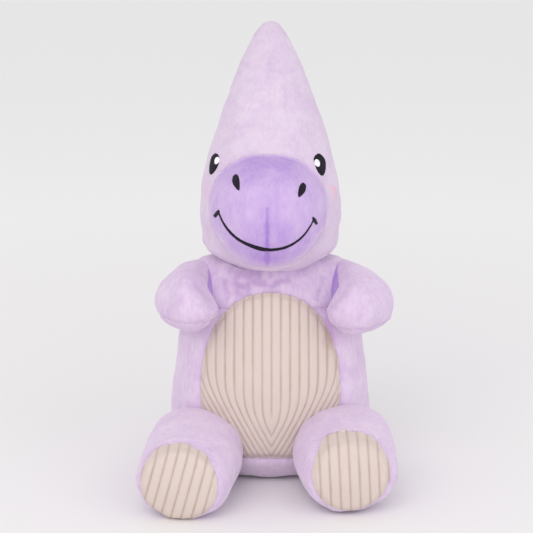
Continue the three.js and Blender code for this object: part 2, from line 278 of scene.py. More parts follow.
@dataclass(frozen=True)
class PilePlush(Finish):
    """Knitted polyester plush with a short brushed pile.

    The pile stands a millimetre or two tall, so it has no weave: it gives the eye a soft rim of
    light and faint strokes where a hand has laid it over; the seams' hollows get a painted shade.
    """

    pale: str = "#e4d3e6"
    deep: str = "#c9a9d8"
    middle: str | None = None  # colour between pale and deep, where it isn't an even mix
    contrast: float = 1.0  # how much the lie of the pile shows
    stroke: float = 16.0  # length of a brushed patch
    tuft: float = 1.7  # tufts are nearer 0.6 mm; drawn coarser, so that they show

    def build(self, tree: bpy.types.NodeTree) -> bpy.types.Node:
        """Adds this finish's nodes and returns the shader."""
        place = add_node(tree, "TexCoord").outputs["Object"]
        lying = add_node(
            tree, "Mapping", {"Rotation": (0.15, 0.1, 0.2), "Scale": (1.0, 1.0, 0.32)}, {0: place}
        ).outputs[0]
        patches = add_node(
            tree, "TexNoise", {"Scale": 1 / (self.stroke * MM), "Detail": 3.0, "Distortion": 0.6},
            {"Vector": place},
        ).outputs[0]
        nap = add_node(
            tree, "TexNoise",
            {"Scale": 1 / (self.tuft * 1.6 * MM), "Detail": 3.0, "Roughness": 0.6},
            {"Vector": lying},
        ).outputs[0]
        tufts = add_node(
            tree, "TexNoise", {"Scale": 1 / (self.tuft * MM), "Detail": 4.0, "Roughness": 0.7},
            {"Vector": place},
        ).outputs[0]
        # painted shade: the seam attribute deepens the colour in the hollows of seams and creases
        seam = add_node(tree, "Attribute", {"attribute_name": "seam"}).outputs["Fac"]
        tone = add_node(tree, "Attribute", {"attribute_name": "tone"}).outputs["Fac"]
        brushed = add_node(
            tree, "MapRange",
            {"From Min": 0.35, "From Max": 0.7, "To Min": 0.0, "To Max": 0.32 * self.contrast},
            {0: patches},
        ).outputs[0]
        laid = add_node(
            tree, "MapRange",
            {
                "From Min": 0.3, "From Max": 0.72, "To Min": -0.1 * self.contrast,
                "To Max": 0.3 * self.contrast,
            },
            {0: nap},
        ).outputs[0]
        mixed = add_node(tree, "Math", {"operation": "ADD"}, {0: brushed, 1: laid}).outputs[0]
        toned = add_node(tree, "Math", {"operation": "ADD"}, {0: tone, 1: mixed}).outputs[0]
        drawn = add_node(
            tree, "Math", {"operation": "MULTIPLY_ADD", 1: 0.35}, {0: seam, 2: toned}
        ).outputs[0]
        between = [(0.3, self.middle)] if self.middle else []
        colour = add_ramp(tree, drawn, [(0.0, self.pale), *between, (1.0, self.deep)])
        relief = add_node(
            tree, "Math", {"operation": "MULTIPLY_ADD", 1: 0.5}, {0: nap, 2: tufts}
        ).outputs[0]
        bump = add_node(
            tree, "Bump", {"Strength": 0.5, "Distance": 0.6 * MM}, {"Height": relief}
        ).outputs[0]
        return add_node(
            tree, "BsdfPrincipled",
            {
                "Roughness": 0.95, "IOR": 1.46, "Specular IOR Level": 0.2, "Sheen Weight": 0.45,
                "Sheen Roughness": 0.55, "Sheen Tint": linear("#f6ecfa"),
            },
            {"Base Color": colour, "Normal": bump},
        )


@dataclass(frozen=True)
class Corduroy(Finish):
    """Wide wale cotton corduroy.

    The wales are in the mesh. The cut pile on their crowns is pale and soft, and the ground weave
    shows darker between them.
    """

    crown: str = "#d9cbc3"
    ground: str = "#bfaca0"
    thread: float = 1.1  # pitch of the filling threads, which cross the wales

    def build(self, tree: bpy.types.NodeTree) -> bpy.types.Node:
        """Adds this finish's nodes and returns the shader."""
        place = add_node(tree, "TexCoord").outputs["Object"]
        rib = add_node(tree, "Attribute", {"attribute_name": "rib"}).outputs["Fac"]
        soft = add_node(
            tree, "TexNoise", {"Scale": 1 / (14 * MM), "Detail": 3.0}, {"Vector": place}
        ).outputs[0]
        across = add_node(
            tree, "Mapping", {"Scale": (0.35, 0.35, 1.0)}, {0: place}
        ).outputs[0]
        threads = add_node(
            tree, "TexNoise", {"Scale": 1 / (self.thread * MM), "Detail": 3.0, "Roughness": 0.65},
            {"Vector": across},
        ).outputs[0]
        tone_shift = add_node(
            tree, "MapRange",
            {"From Min": 0.3, "From Max": 0.7, "To Min": -0.16, "To Max": 0.12}, {0: soft},
        ).outputs[0]
        crowned = add_node(tree, "Math", {"operation": "ADD"}, {0: rib, 1: tone_shift}).outputs[0]
        shown = add_node(
            tree, "Math", {"operation": "MULTIPLY_ADD", 1: 0.22}, {0: threads, 2: crowned}
        ).outputs[0]
        colour = add_ramp(tree, shown, [(0.0, self.ground), (0.4, "#ccbcb3"), (0.9, self.crown)])
        bump = add_node(
            tree, "Bump", {"Strength": 0.55, "Distance": 0.4 * MM}, {"Height": threads}
        ).outputs[0]
        return add_node(
            tree, "BsdfPrincipled",
            {
                "Roughness": 0.95, "IOR": 1.5, "Specular IOR Level": 0.15, "Sheen Weight": 0.3,
                "Sheen Roughness": 0.5, "Sheen Tint": linear("#fff6ee"),
            },
            {"Base Color": colour, "Normal": bump},
        )


@dataclass(frozen=True)
class Thread(Finish):
    """Rayon embroidery thread in satin stitch, which has a low silky shine."""

    colour: str = "#0f0a16"
    light: str = "#221a2e"

    def build(self, tree: bpy.types.NodeTree) -> bpy.types.Node:
        """Adds this finish's nodes and returns the shader."""
        place = add_node(tree, "TexCoord").outputs["Object"]
        fibres = add_node(
            tree, "TexNoise", {"Scale": 1 / (0.7 * MM), "Detail": 3.0}, {"Vector": place}
        ).outputs[0]
        colour = add_ramp(tree, fibres, [(0.35, self.colour), (0.75, self.light)])
        bump = add_node(
            tree, "Bump", {"Strength": 0.3, "Distance": 0.15 * MM}, {"Height": fibres}
        ).outputs[0]
        return add_node(
            tree, "BsdfPrincipled",
            {"Roughness": 0.55, "IOR": 1.5, "Specular IOR Level": 0.22},
            {"Base Color": colour, "Normal": bump},
        )


@dataclass(frozen=True)
class Filling(Finish):
    """Polyester fibre fill or the plain cloth of the pellet pouch: matt, pale and uneven."""

    pale: str = "#f5f3ef"
    shade: str = "#d8d4cc"
    grain: float = 3.0

    def build(self, tree: bpy.types.NodeTree) -> bpy.types.Node:
        """Adds this finish's nodes and returns the shader."""
        place = add_node(tree, "TexCoord").outputs["Object"]
        fibres = add_node(
            tree, "TexNoise", {"Scale": 1 / (self.grain * MM), "Detail": 5.0, "Distortion": 1.5},
            {"Vector": place},
        ).outputs[0]
        colour = add_ramp(tree, fibres, [(0.3, self.shade), (0.7, self.pale)])
        bump = add_node(
            tree, "Bump", {"Strength": 0.6, "Distance": 0.8 * MM}, {"Height": fibres}
        ).outputs[0]
        return add_node(
            tree, "BsdfPrincipled", {"Roughness": 1.0, "IOR": 1.5, "Sheen Weight": 0.2},
            {"Base Color": colour, "Normal": bump},
        )


@dataclass(frozen=True)
class StudioPaper(Finish):
    """Matt paper sweep under the toy, painted paler away from it as light, where the soft boxes'
    light falls off.
    """

    near: str = "#f2f1f2"
    far: str = "#ffffff"
    reach: float = 1.2  # metres from the toy to where the paper is at its palest

    def build(self, tree: bpy.types.NodeTree) -> bpy.types.Node:
        """Adds this finish's nodes and returns the shader."""
        place = add_node(tree, "TexCoord").outputs["Object"]
        away = add_node(tree, "VectorMath", {"operation": "LENGTH"}, {0: place})
        share = add_node(tree, "Math", {"operation": "DIVIDE", 1: self.reach},
                         {0: away.outputs["Value"]})
        # painted light: paler towards the far floor, which the soft boxes hardly reach
        colour = add_ramp(tree, share.outputs[0], ((0.15, self.near), (1.0, self.far)))
        return add_node(tree, "BsdfPrincipled", {"Roughness": 0.9}, {"Base Color": colour})


PALE_PLUSH = PilePlush("pale_lilac_plush", "#dccde0", "#c6aed0")
LILAC_PLUSH = PilePlush("lilac_plush", "#e3d2e7", "#c6a9d2")
VIOLET_PLUSH = PilePlush("violet_plush", "#dccbe3", "#a883d0", "#cdb4e0", 0.55, 14.0)
WALE_CORDUROY = Corduroy("beige_wale_corduroy")
BLACK_THREAD = Thread("black_satin_thread")
WHITE_THREAD = Thread("white_satin_thread", "#f6f4f8", "#ffffff")
PINK_THREAD = Thread("pink_satin_thread", "#e6bfd2", "#ecc9d8")
FIBRE_FILL = Filling("polyester_fibre_fill")
POUCH_CLOTH = Filling("pellet_pouch_cloth", "#d9d2c6", "#c2b9a9", 1.4)


class Slot(Enum):
    """The record's material slots, and the finish that each one gets."""

    crest_plush = PALE_PLUSH
    body_plush = LILAC_PLUSH
    muzzle_plush = VIOLET_PLUSH
    corduroy = WALE_CORDUROY
    black_thread = BLACK_THREAD
    white_thread = WHITE_THREAD
    pink_thread = PINK_THREAD
    polyester_fibre = FIBRE_FILL
    pouch_cloth = POUCH_CLOTH


def dress(piece: bpy.types.Object, slot: Slot) -> None:
    """Gives a piece its slot's finish and smooth shading."""
    piece.data.materials.clear()
    piece.data.materials.append(slot.value.material())
    piece.data.polygons.foreach_set("use_smooth", [True] * len(piece.data.polygons))


# ------------------------------------------------------------------ seams


def everywhere(points: Points) -> np.ndarray:
    """A rule that holds at every point."""
    return np.ones(len(points), bool)


@dataclass(frozen=True)
class Seam:
    """A line of stitches that draws the fabric in.

    Attributes:
        depth: How far the stitches lie below the fabric beside them.
        width: How far the hollow reaches to each side.
        gather: Height of the small folds that run away from the stitches.
        shade: How much painted shade deepens the pile's colour where it is drawn in.
        joins: Whether two panels meet here; a crease is only a fold in one.
        where: Which part of the surface the seam crosses.
    """

    depth: float = 1.5
    width: float = 2.6
    gather: float = 0.35
    shade: float = 1.0
    joins: bool = True
    where: Rule = everywhere

    FOLD_PITCH = 3.6
    FOLD_REACH = 1.9  # how far the folds run from the stitches, as a share of the width
    STEP = 0.4  # for the slope of the distance
    STEEP = 0.15  # where the fabric nearly faces the seam, it slides no further than this allows

    def signed(self, points: Points) -> np.ndarray:
        """Distance to the seam's surface, negative on one side."""
        raise NotImplementedError

    def gradient(self, points: Points) -> Points:
        """The direction in which the signed distance grows."""
        here = self.signed(points)
        ahead = [self.signed(points + self.STEP * axis) for axis in np.eye(3)]
        return (np.stack(ahead, axis=1) - here[:, None]) / self.STEP

    def snapped(self, points: Points, normals: Points, reach: float) -> Points:
        """The points, with those nearer the seam than reach moved onto it along the fabric."""
        distance = self.signed(points)
        near = (np.abs(distance) < reach) & self.where(points)
        slope = self.gradient(points[near])
        slope -= (slope * normals[near]).sum(1)[:, None] * normals[near]
        length = np.maximum((slope**2).sum(1), self.STEEP)
        moved = points.copy()
        moved[near] -= slope * (distance[near] / length)[:, None]
        return moved

    def relief(self, points: Points, seed: int) -> tuple[np.ndarray, np.ndarray]:
        """How far each point moves along its normal, and how close to the stitches it is, weighted
        by the painted shade of its hollow.
        """
        distance = np.abs(self.signed(points))
        crossing = self.where(points)
        hollow = np.exp(-((distance / self.width) ** 2)) * crossing
        near = (distance < 5 * self.width) & crossing
        folds = np.zeros(len(points))
        foot = points[near] - self.gradient(points[near]) * self.signed(points[near])[:, None]
        fade = np.exp(-distance[near] / (self.FOLD_REACH * self.width))
        folds[near] = lattice_noise(foot, self.FOLD_PITCH, seed) * fade * self.gather
        return folds - self.depth * hollow, hollow * self.shade


@dataclass(frozen=True)
class PlaneSeam(Seam):
    """A seam that lies in a plane through a point, facing one way."""

    through: tuple[float, float, float] = (0, 0, 0)
    facing: tuple[float, float, float] = (1, 0, 0)

    def signed(self, points: Points) -> np.ndarray:
        """Distance in front of the plane."""
        normal = np.array(self.facing) / np.linalg.norm(self.facing)
        return (points - np.array(self.through)) @ normal


@dataclass(frozen=True)
class OutlineSeam(Seam):
    """A seam round a closed outline in the toy's front view, given as (x, z) points."""

    outline: tuple[tuple[float, float], ...] = ()

    def signed(self, points: Points) -> np.ndarray:
        """Distance outside the outline, negative inside it."""
        corners = np.array(self.outline)
        flat = points[:, [0, 2]]
        nearest = np.full(len(flat), np.inf)
        inside = np.zeros(len(flat), bool)
        for a, b in zip(corners, np.roll(corners, -1, axis=0)):
            run = b - a
            share = np.clip((flat - a) @ run / (run @ run), 0, 1)
            nearest = np.minimum(nearest, np.linalg.norm(flat - a - share[:, None] * run, axis=1))
            crosses = (a[1] > flat[:, 1]) != (b[1] > flat[:, 1])
            meets = a[0] + (flat[:, 1] - a[1]) * run[0] / (run[1] if run[1] else 1e-9)
            inside ^= crosses & (flat[:, 0] < meets)
        return np.where(inside, -nearest, nearest)


@dataclass(frozen=True)
class RingSeam(Seam):
    """A seam round an axis at one radius, which may be flattened at its top."""

    centre: tuple[float, float, float] = (0, 0, 0)
    axis: tuple[float, float, float] = (0, 1, 0)
    radius: float = 30.0
    flattened: float = 0.0  # how much less the radius is at the top, as a share

    def signed(self, points: Points) -> np.ndarray:
        """Distance outside the ring's cylinder."""
        along = np.array(self.axis) / np.linalg.norm(self.axis)
        arm = points - np.array(self.centre)
        spoke = arm - (arm @ along)[:, None] * along
        length = np.linalg.norm(spoke, axis=1)
        up = np.clip(spoke[:, 2] / np.maximum(length, 1e-6), 0, 1)
        return length - self.radius * (1 - self.flattened * up**6)


# ------------------------------------------------------------------ stuffed bodies


@dataclass(frozen=True)
class Panel:
    """One cut piece of fabric.

    Attributes:
        node: The CAD node that it stands for; its piece is named after it.
        slot: The record's material slot.
        side: Which part of the body's surface it covers.
        wales: For corduroy, a rule that gives the distance across the wales at each point.
    """

    node: str
    slot: Slot
    side: Rule
    wales: Rule | None = None


@dataclass
class StuffedBody:
    """One stuffed body of the toy: its fabric, drawn in at its seams, and its filling.

    Attributes:
        body: The frame's body that it rides on.
        shape_nodes: The CAD nodes whose outer shape the fabric follows.
        seams: Its lines of stitches.
        panels: Its cut pieces, which between them cover the surface.
        fillings: CAD nodes of the filling and the slot of each.
        voxel: Size of the grid that the fabric is simulated on.
        swell: The most that the stuffing may move the fabric.
        offset: How far the fabric lies outside the shape nodes, on average.
        fill: How tightly it is stuffed, from 0 to 1.
        convex: Whether the fabric is stretched over the shape nodes like a hull.
        bulges: For a hull, the centre and radius of each round swelling under it.
        bend: For a limb, the joint's parent and where the bend starts and ends; only whether it is
            set is read.
        settled: How far the stuffing has shifted the fabric at each point.
        tone: How much deeper than the finish's pale colour each point is drawn; some bodies put
            painted shade and painted light in it.
        seed: Picks its pattern of lumps and folds.
        openings: The limbs that come out of it, inside which it has no fabric.
        surface: Its whole outer surface, until that is cut into the panels.
    """

    body: str
    shape_nodes: tuple[str, ...]
    seams: list[Seam]
    panels: list[Panel]
    fillings: dict[str, Slot]
    voxel: float = 4.4
    swell: float = 4.0
    offset: float = 1.6
    fill: float = 0.8
    convex: bool = False
    bulges: list[tuple[tuple[float, float, float], float]] = field(default_factory=list)
    bend: tuple[str, tuple, tuple] | None = None
    settled: Callable[[Points], Points] | None = None
    tone: Rule | None = None
    seed: int = 1
    openings: list["StuffedBody"] = field(default_factory=list)
    surface: bpy.types.Object | None = None

    CLOTH_FRAMES = 20
    PRESSURE = 4.0
    HELD = 0.2  # the stitches hold the fabric where the seam is at least this close to it
    LUMPS = ((0.7, 21.0), (0.3, 8.5))  # height and pitch of the lumps in the stuffed fabric
    SEAM_SEEDS = 10  # the seams' patterns of folds start this far after the body's own
    ON = 0.12  # a vertex this near a seam is moved onto it
    SCRAP = 0.02  # the smallest scrap of a face that is kept
    FABRIC = 1.5  # thickness of the fabric with its pile
    WALE = 7.3  # pitch of the corduroy's wales
    WALE_HEIGHT = 1.0
    VALLEY = 0.8  # how far a wale's side reaches from the middle of the valley
    FILLING_VOXEL = 4.0
    FILLING_LUMPS = (0.6, 6.0)  # height and pitch of the lumps in the filling
    FILLING_SINK = 3.0  # how far the filling lies inside its CAD solid
    GROUND = 0.25  # the lowest that the fabric reaches
    PRESSED = 1.0  # how far the head may press into this body's fabric
    CLEAR = 0.6  # the room left behind the shoulders, where the head turns past them
    OPENING_MARGIN = 3.0  # how far the fabric runs on into a limb that comes out of it

    def copied(
        self, name: str, nodes: Iterable[str], convex: bool = False
    ) -> bpy.types.Object:
        """A new object with the joined meshes of some CAD nodes, their doubles merged.

        Args:
            name: The new object's name.
            nodes: The CAD nodes that are copied.
            convex: Whether the hull of the copies and the bulges is made instead.

        Returns:
            The new object.
        """
        built = bmesh.new()
        for node in nodes:
            built.from_mesh(frame["nodes"][node].data)
        bmesh.ops.remove_doubles(built, verts=built.verts, dist=0.01 * MM)
        for centre, radius in self.bulges if convex else []:
            bmesh.ops.create_icosphere(
                built, subdivisions=3, radius=radius * MM,
                matrix=Matrix.Translation(to_row(centre)),
            )
        if convex:
            hull = bmesh.ops.convex_hull(built, input=built.verts)
            loose = {g for key in ("geom_interior", "geom_unused") for g in hull[key]}
            bmesh.ops.delete(built, geom=[g for g in loose if g.is_valid], context="VERTS")
        mesh = bpy.data.meshes.new(name)
        built.to_mesh(mesh)
        built.free()
        made = bpy.data.objects.new(name, mesh)
        bpy.context.scene.collection.objects.link(made)
        return made

    def stuff(self) -> None:
        """Makes the body's whole surface: remeshed, swollen by its stuffing, and smooth."""
        surface = self.copied(self.body + "_surface", self.shape_nodes, self.convex)
        apply_modifier(surface, "REMESH", mode="VOXEL", voxel_size=self.voxel * MM)
        apply_modifier(surface, "SMOOTH", factor=0.5, iterations=3)
        self.simulate(surface)
        points = read_points(surface.data) + self.offset * read_normals(surface.data)
        if self.settled:
            points = points + self.settled(points)
        write_points(surface.data, points)
        apply_modifier(surface, "SUBSURF", levels=2, render_levels=2)
        self.surface = surface

    def simulate(self, surface: bpy.types.Object) -> None:
        """Lets the stuffing's pressure move the fabric between its seams.

        Args:
            surface: The body's surface, which is moved.
        """
        rest = read_points(surface.data)
        normals = read_normals(surface.data)
        held = np.zeros(len(rest))
        for seam in self.seams:
            held = np.maximum(held, seam.relief(rest, self.seed)[1])
        group = surface.vertex_groups.new(name="stitches")
        for number in np.flatnonzero(held > self.HELD):
            group.add([int(number)], float(held[number]), "REPLACE")
        select_only(surface)
        cloth = surface.modifiers.new("Cloth", "CLOTH")
        cloth.settings.use_pressure = True
        cloth.settings.uniform_pressure_force = self.PRESSURE
        cloth.settings.effector_weights.gravity = 0.0
        cloth.settings.vertex_group_mass = group.name
        cloth.settings.quality = 5
        cloth.point_cache.frame_end = self.CLOTH_FRAMES
        for number in range(1, self.CLOTH_FRAMES + 1):
            bpy.context.scene.frame_set(number)
        bpy.ops.object.modifier_apply(modifier=cloth.name)
        bpy.context.scene.frame_set(1)
        moved = read_points(surface.data) - rest
        outward = (moved * normals).sum(1)
        moved -= outward.mean() * normals
        length = np.maximum(np.linalg.norm(moved, axis=1), 1e-6)
        moved *= np.minimum(1, self.swell / length)[:, None]
        write_points(surface.data, rest + moved)

    def tree(self) -> BVHTree:
        """The surface, for finding what is near it."""
        mesh = self.surface.data
        return BVHTree.FromPolygons(read_points(mesh).tolist(), read_faces(mesh))

    def rest_against(self, head: "StuffedBody", turns: Sequence[float]) -> None:
        """Moves the fabric that the head would press on out to the head's surface.

        Args:
            head: The body that presses on this one.
            turns: The turns of the neck at which it is tried, in degrees.
        """
        tree = head.tree()
        points = read_points(self.surface.data)
        around = read_points(head.surface.data)
        for turn in turns:
            depth = np.full(len(points), self.PRESSED)
            if turn:
                depth[points[:, 1] > 0] = -self.CLEAR
            spin = np.array(Matrix.Rotation(math.radians(turn), 3, "Z"))
            points = points @ spin
            close = ((points > around.min(0)) & (points < around.max(0))).all(1)
            for number in np.flatnonzero(close):
                near, normal, _, distance = tree.find_nearest(points[number])
                inside = (Vector(points[number]) - near).dot(normal) < 0
                if inside and distance > depth[number]:
                    points[number] = near - float(depth[number]) * normal
            points = points @ spin.T
        write_points(self.surface.data, points)

    def draw_in(self) -> None:
        """Gives the fabric its hollows, folds and lumps."""
        for seam in self.seams:
            if seam.joins:
                self.divide(seam)
        mesh = self.surface.data
        points = read_points(mesh)
        normals = read_normals(mesh)
        relief = np.zeros(len(points))
        for number, (height, pitch) in enumerate(self.LUMPS):
            relief += height * lattice_noise(points, pitch, self.seed + number)
        painted_seam_shade = np.zeros(len(points))
        for number, seam in enumerate(self.seams):
            drawn, hollow = seam.relief(points, self.seed + self.SEAM_SEEDS + number)
            relief += drawn
            painted_seam_shade = np.maximum(painted_seam_shade, hollow)
        points = points + relief[:, None] * normals
        points[:, 2] = np.maximum(points[:, 2], self.GROUND)
        write_points(mesh, points)
        # stored for the finishes as painted shade in the hollows of seams and creases
        set_attribute(mesh, "seam", painted_seam_shade)

    def divide(self, seam: Seam) -> None:
        """Lays an unbroken line of edges along a seam, so that its panels meet on it.

        Args:
            seam: The seam, along which the mesh is divided.
        """
        mesh = self.surface.data
        points = seam.snapped(read_points(mesh), read_normals(mesh), self.ON)
        write_points(mesh, points)
        away = seam.signed(points)
        crossed = seam.where(points)
        built = bmesh.new()
        built.from_mesh(mesh)
        built.verts.ensure_lookup_table()
        on_seam = {built.verts[int(i)] for i in np.flatnonzero((np.abs(away) < self.ON) & crossed)}
        ends = [(edge, *(vertex.index for vertex in edge.verts)) for edge in built.edges]
        for edge, a, b in ends:
            clear = min(abs(away[a]), abs(away[b])) >= self.ON
            if clear and away[a] * away[b] < 0 and crossed[a] and crossed[b]:
                share = away[a] / (away[a] - away[b])
                on_seam.add(bmesh.utils.edge_split(edge, edge.verts[0], share)[1])
        for face in list(built.faces):
            marks = [vertex for vertex in face.verts if vertex in on_seam]
            if len(marks) == 2 and not any(marks[1] in edge.verts for edge in marks[0].link_edges):
                bmesh.utils.face_split(face, *marks)
        built.to_mesh(mesh)
        built.free()

    def cut(self) -> None:
        """Cuts the surface into its panels, finishes each one, and hangs them with hang."""
        mesh = self.surface.data
        points = read_points(mesh)
        faces = read_faces(mesh)
        painted_seam_shade = get_attribute(mesh, "seam")
        centres = np.array([points[list(face)].mean(0) for face in faces])
        free = ~self.covered(centres)
        for panel in self.panels:
            chosen = [faces[i] for i in np.flatnonzero(panel.side(centres) & free)]
            used = sorted({vertex for face in chosen for vertex in face})
            renumbered = dict(zip(used, range(len(used))))
            piece = new_object(
                panel.node + "_fabric", points[used],
                [[renumbered[vertex] for vertex in face] for face in chosen],
            )
            set_attribute(piece.data, "seam", painted_seam_shade[used])
            if self.tone:
                set_attribute(piece.data, "tone", self.tone(points[used]))
            self.drop_scraps(piece)
            if panel.wales:
                self.raise_wales(piece, panel.wales)
            apply_modifier(
                piece, "SOLIDIFY", thickness=self.FABRIC * MM, offset=-1.0, use_rim=True
            )
            dress(piece, panel.slot)
            self.hang(piece)
            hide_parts(panel.node)
            LOG.info("%s: %d faces", piece.name, len(piece.data.polygons))
        bpy.data.objects.remove(self.surface)

    def drop_scraps(self, piece: bpy.types.Object) -> None:
        """Drops the scraps of faces that have hardly any area."""
        built = bmesh.new()
        built.from_mesh(piece.data)
        bmesh.ops.dissolve_degenerate(built, edges=built.edges, dist=self.SCRAP * MM)
        built.to_mesh(piece.data)
        built.free()

    def covered(self, centres: Points) -> np.ndarray:
        """Which points of this surface lie well inside a limb that comes out of it."""
        hidden = np.zeros(len(centres), bool)
        for limb in self.openings:
            mesh = limb.surface.data
            points = read_points(mesh)
            tree = BVHTree.FromPolygons(points.tolist(), read_faces(mesh))
            low, high = points.min(0), points.max(0)
            close = np.flatnonzero(((centres > low) & (centres < high)).all(1))
            for number in close:
                near, normal, _, distance = tree.find_nearest(centres[number])
                behind = (Vector(centres[number]) - near).dot(normal) < 0
                hidden[number] |= behind and distance > self.OPENING_MARGIN
        return hidden

    def raise_wales(self, piece: bpy.types.Object, wales: Rule) -> None:
        """Subdivides a corduroy panel and raises its wales.

        Args:
            piece: The panel, before it has a thickness.
            wales: Gives the distance across the wales at each point.
        """
        apply_modifier(
            piece, "SUBSURF", subdivision_type="SIMPLE", levels=1, render_levels=1
        )
        points = read_points(piece.data)
        share = np.mod(wales(points) / self.WALE, 1.0)
        valley = np.minimum(share, 1 - share) * self.WALE
        height = 1 - np.exp(-((valley / self.VALLEY) ** 2))
        crown = height * (0.8 + 0.2 * np.sin(math.pi * share))
        seam = get_attribute(piece.data, "seam")
        rise = self.WALE_HEIGHT * (crown - 0.6) * (1 - 0.85 * seam)
        points = points + rise[:, None] * read_normals(piece.data)
        points[:, 2] = np.maximum(points[:, 2], self.GROUND)
        write_points(piece.data, points)
        tone_shift = self.tone(points) if self.tone else 0.0
        # painted shade: near the seams the wales are drawn toward the ground colour; the body's
        # tone, with its painted shade and light, lowers them too
        set_attribute(piece.data, "rib", crown * (1 - 0.25 * seam) - tone_shift)

    def hang(self, piece: bpy.types.Object) -> None:
        """Hangs a piece on an unbent body; a piece of a bent body only has its placement baked in.
        """
        if self.bend:
            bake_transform(piece)
        else:
            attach(piece, self.body)

    def pack_filling(self) -> None:
        """Makes the filling that the fabric covers."""
        for node, slot in self.fillings.items():
            piece = self.copied_filling(node)
            points = read_points(piece.data)
            height, pitch = self.FILLING_LUMPS
            lumps = height * lattice_noise(points, pitch, self.seed) - self.FILLING_SINK
            if self.settled:
                points = points + self.settled(points)
            write_points(piece.data, points + lumps[:, None] * read_normals(piece.data))
            dress(piece, slot)
            self.hang(piece)
            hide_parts(node)

    def copied_filling(self, node: str) -> bpy.types.Object:
        """A remeshed copy of one CAD filling."""
        piece = self.copied(node + "_filling", [node])
        apply_modifier(piece, "REMESH", mode="VOXEL", voxel_size=self.FILLING_VOXEL * MM)
        apply_modifier(piece, "SMOOTH", factor=0.5, iterations=4)
        return piece


# ------------------------------------------------------------------ the toy's bodies


def in_front(y: float) -> Rule:
    """The part of a body in front of a frontal plane."""
    return lambda points: points[:, 1] < y


def one_side(points: Points, sign: int) -> np.ndarray:
    """The part on the toy's left in the picture for a sign of -1, or on its right for 1."""
    return points[:, 0] >= 0 if sign > 0 else points[:, 0] < 0


def inside_seam(points: Points, seam: Seam, where: Rule) -> np.ndarray:
    """The part inside a closed seam."""
    return (seam.signed(points) < 0) & where(points)


def near_point(x: float, z: float, reach: float) -> Rule:
    """The part of a body's front near a point in the front view."""
    return lambda p: (np.hypot(p[:, 0] - x, p[:, 2] - z) < reach) & (p[:, 1] < 30)


def patch(
    points: Points, centre: tuple[float, float], reach: tuple[float, float]
) -> np.ndarray:
    """A soft oval patch in the front view: 1 at its centre, and fading out round it."""
    x, _, z = points.T
    return np.exp(-(((x - centre[0]) / reach[0]) ** 2) - ((z - centre[1]) / reach[1]) ** 2)


def bezier(start: tuple, near: tuple, far: tuple, end: tuple, steps: int) -> list[tuple]:
    """Points on a cubic curve, without its last one."""
    shares = np.arange(steps)[:, None] / steps
    corners = [np.array(p, float) for p in (start, near, far, end)]
    weights = [(1 - shares) ** 3, 3 * shares * (1 - shares) ** 2, 3 * shares**2 * (1 - shares)]
    curve = sum(w * c for w, c in zip([*weights, shares**3], corners))
    return [tuple(point) for point in curve]


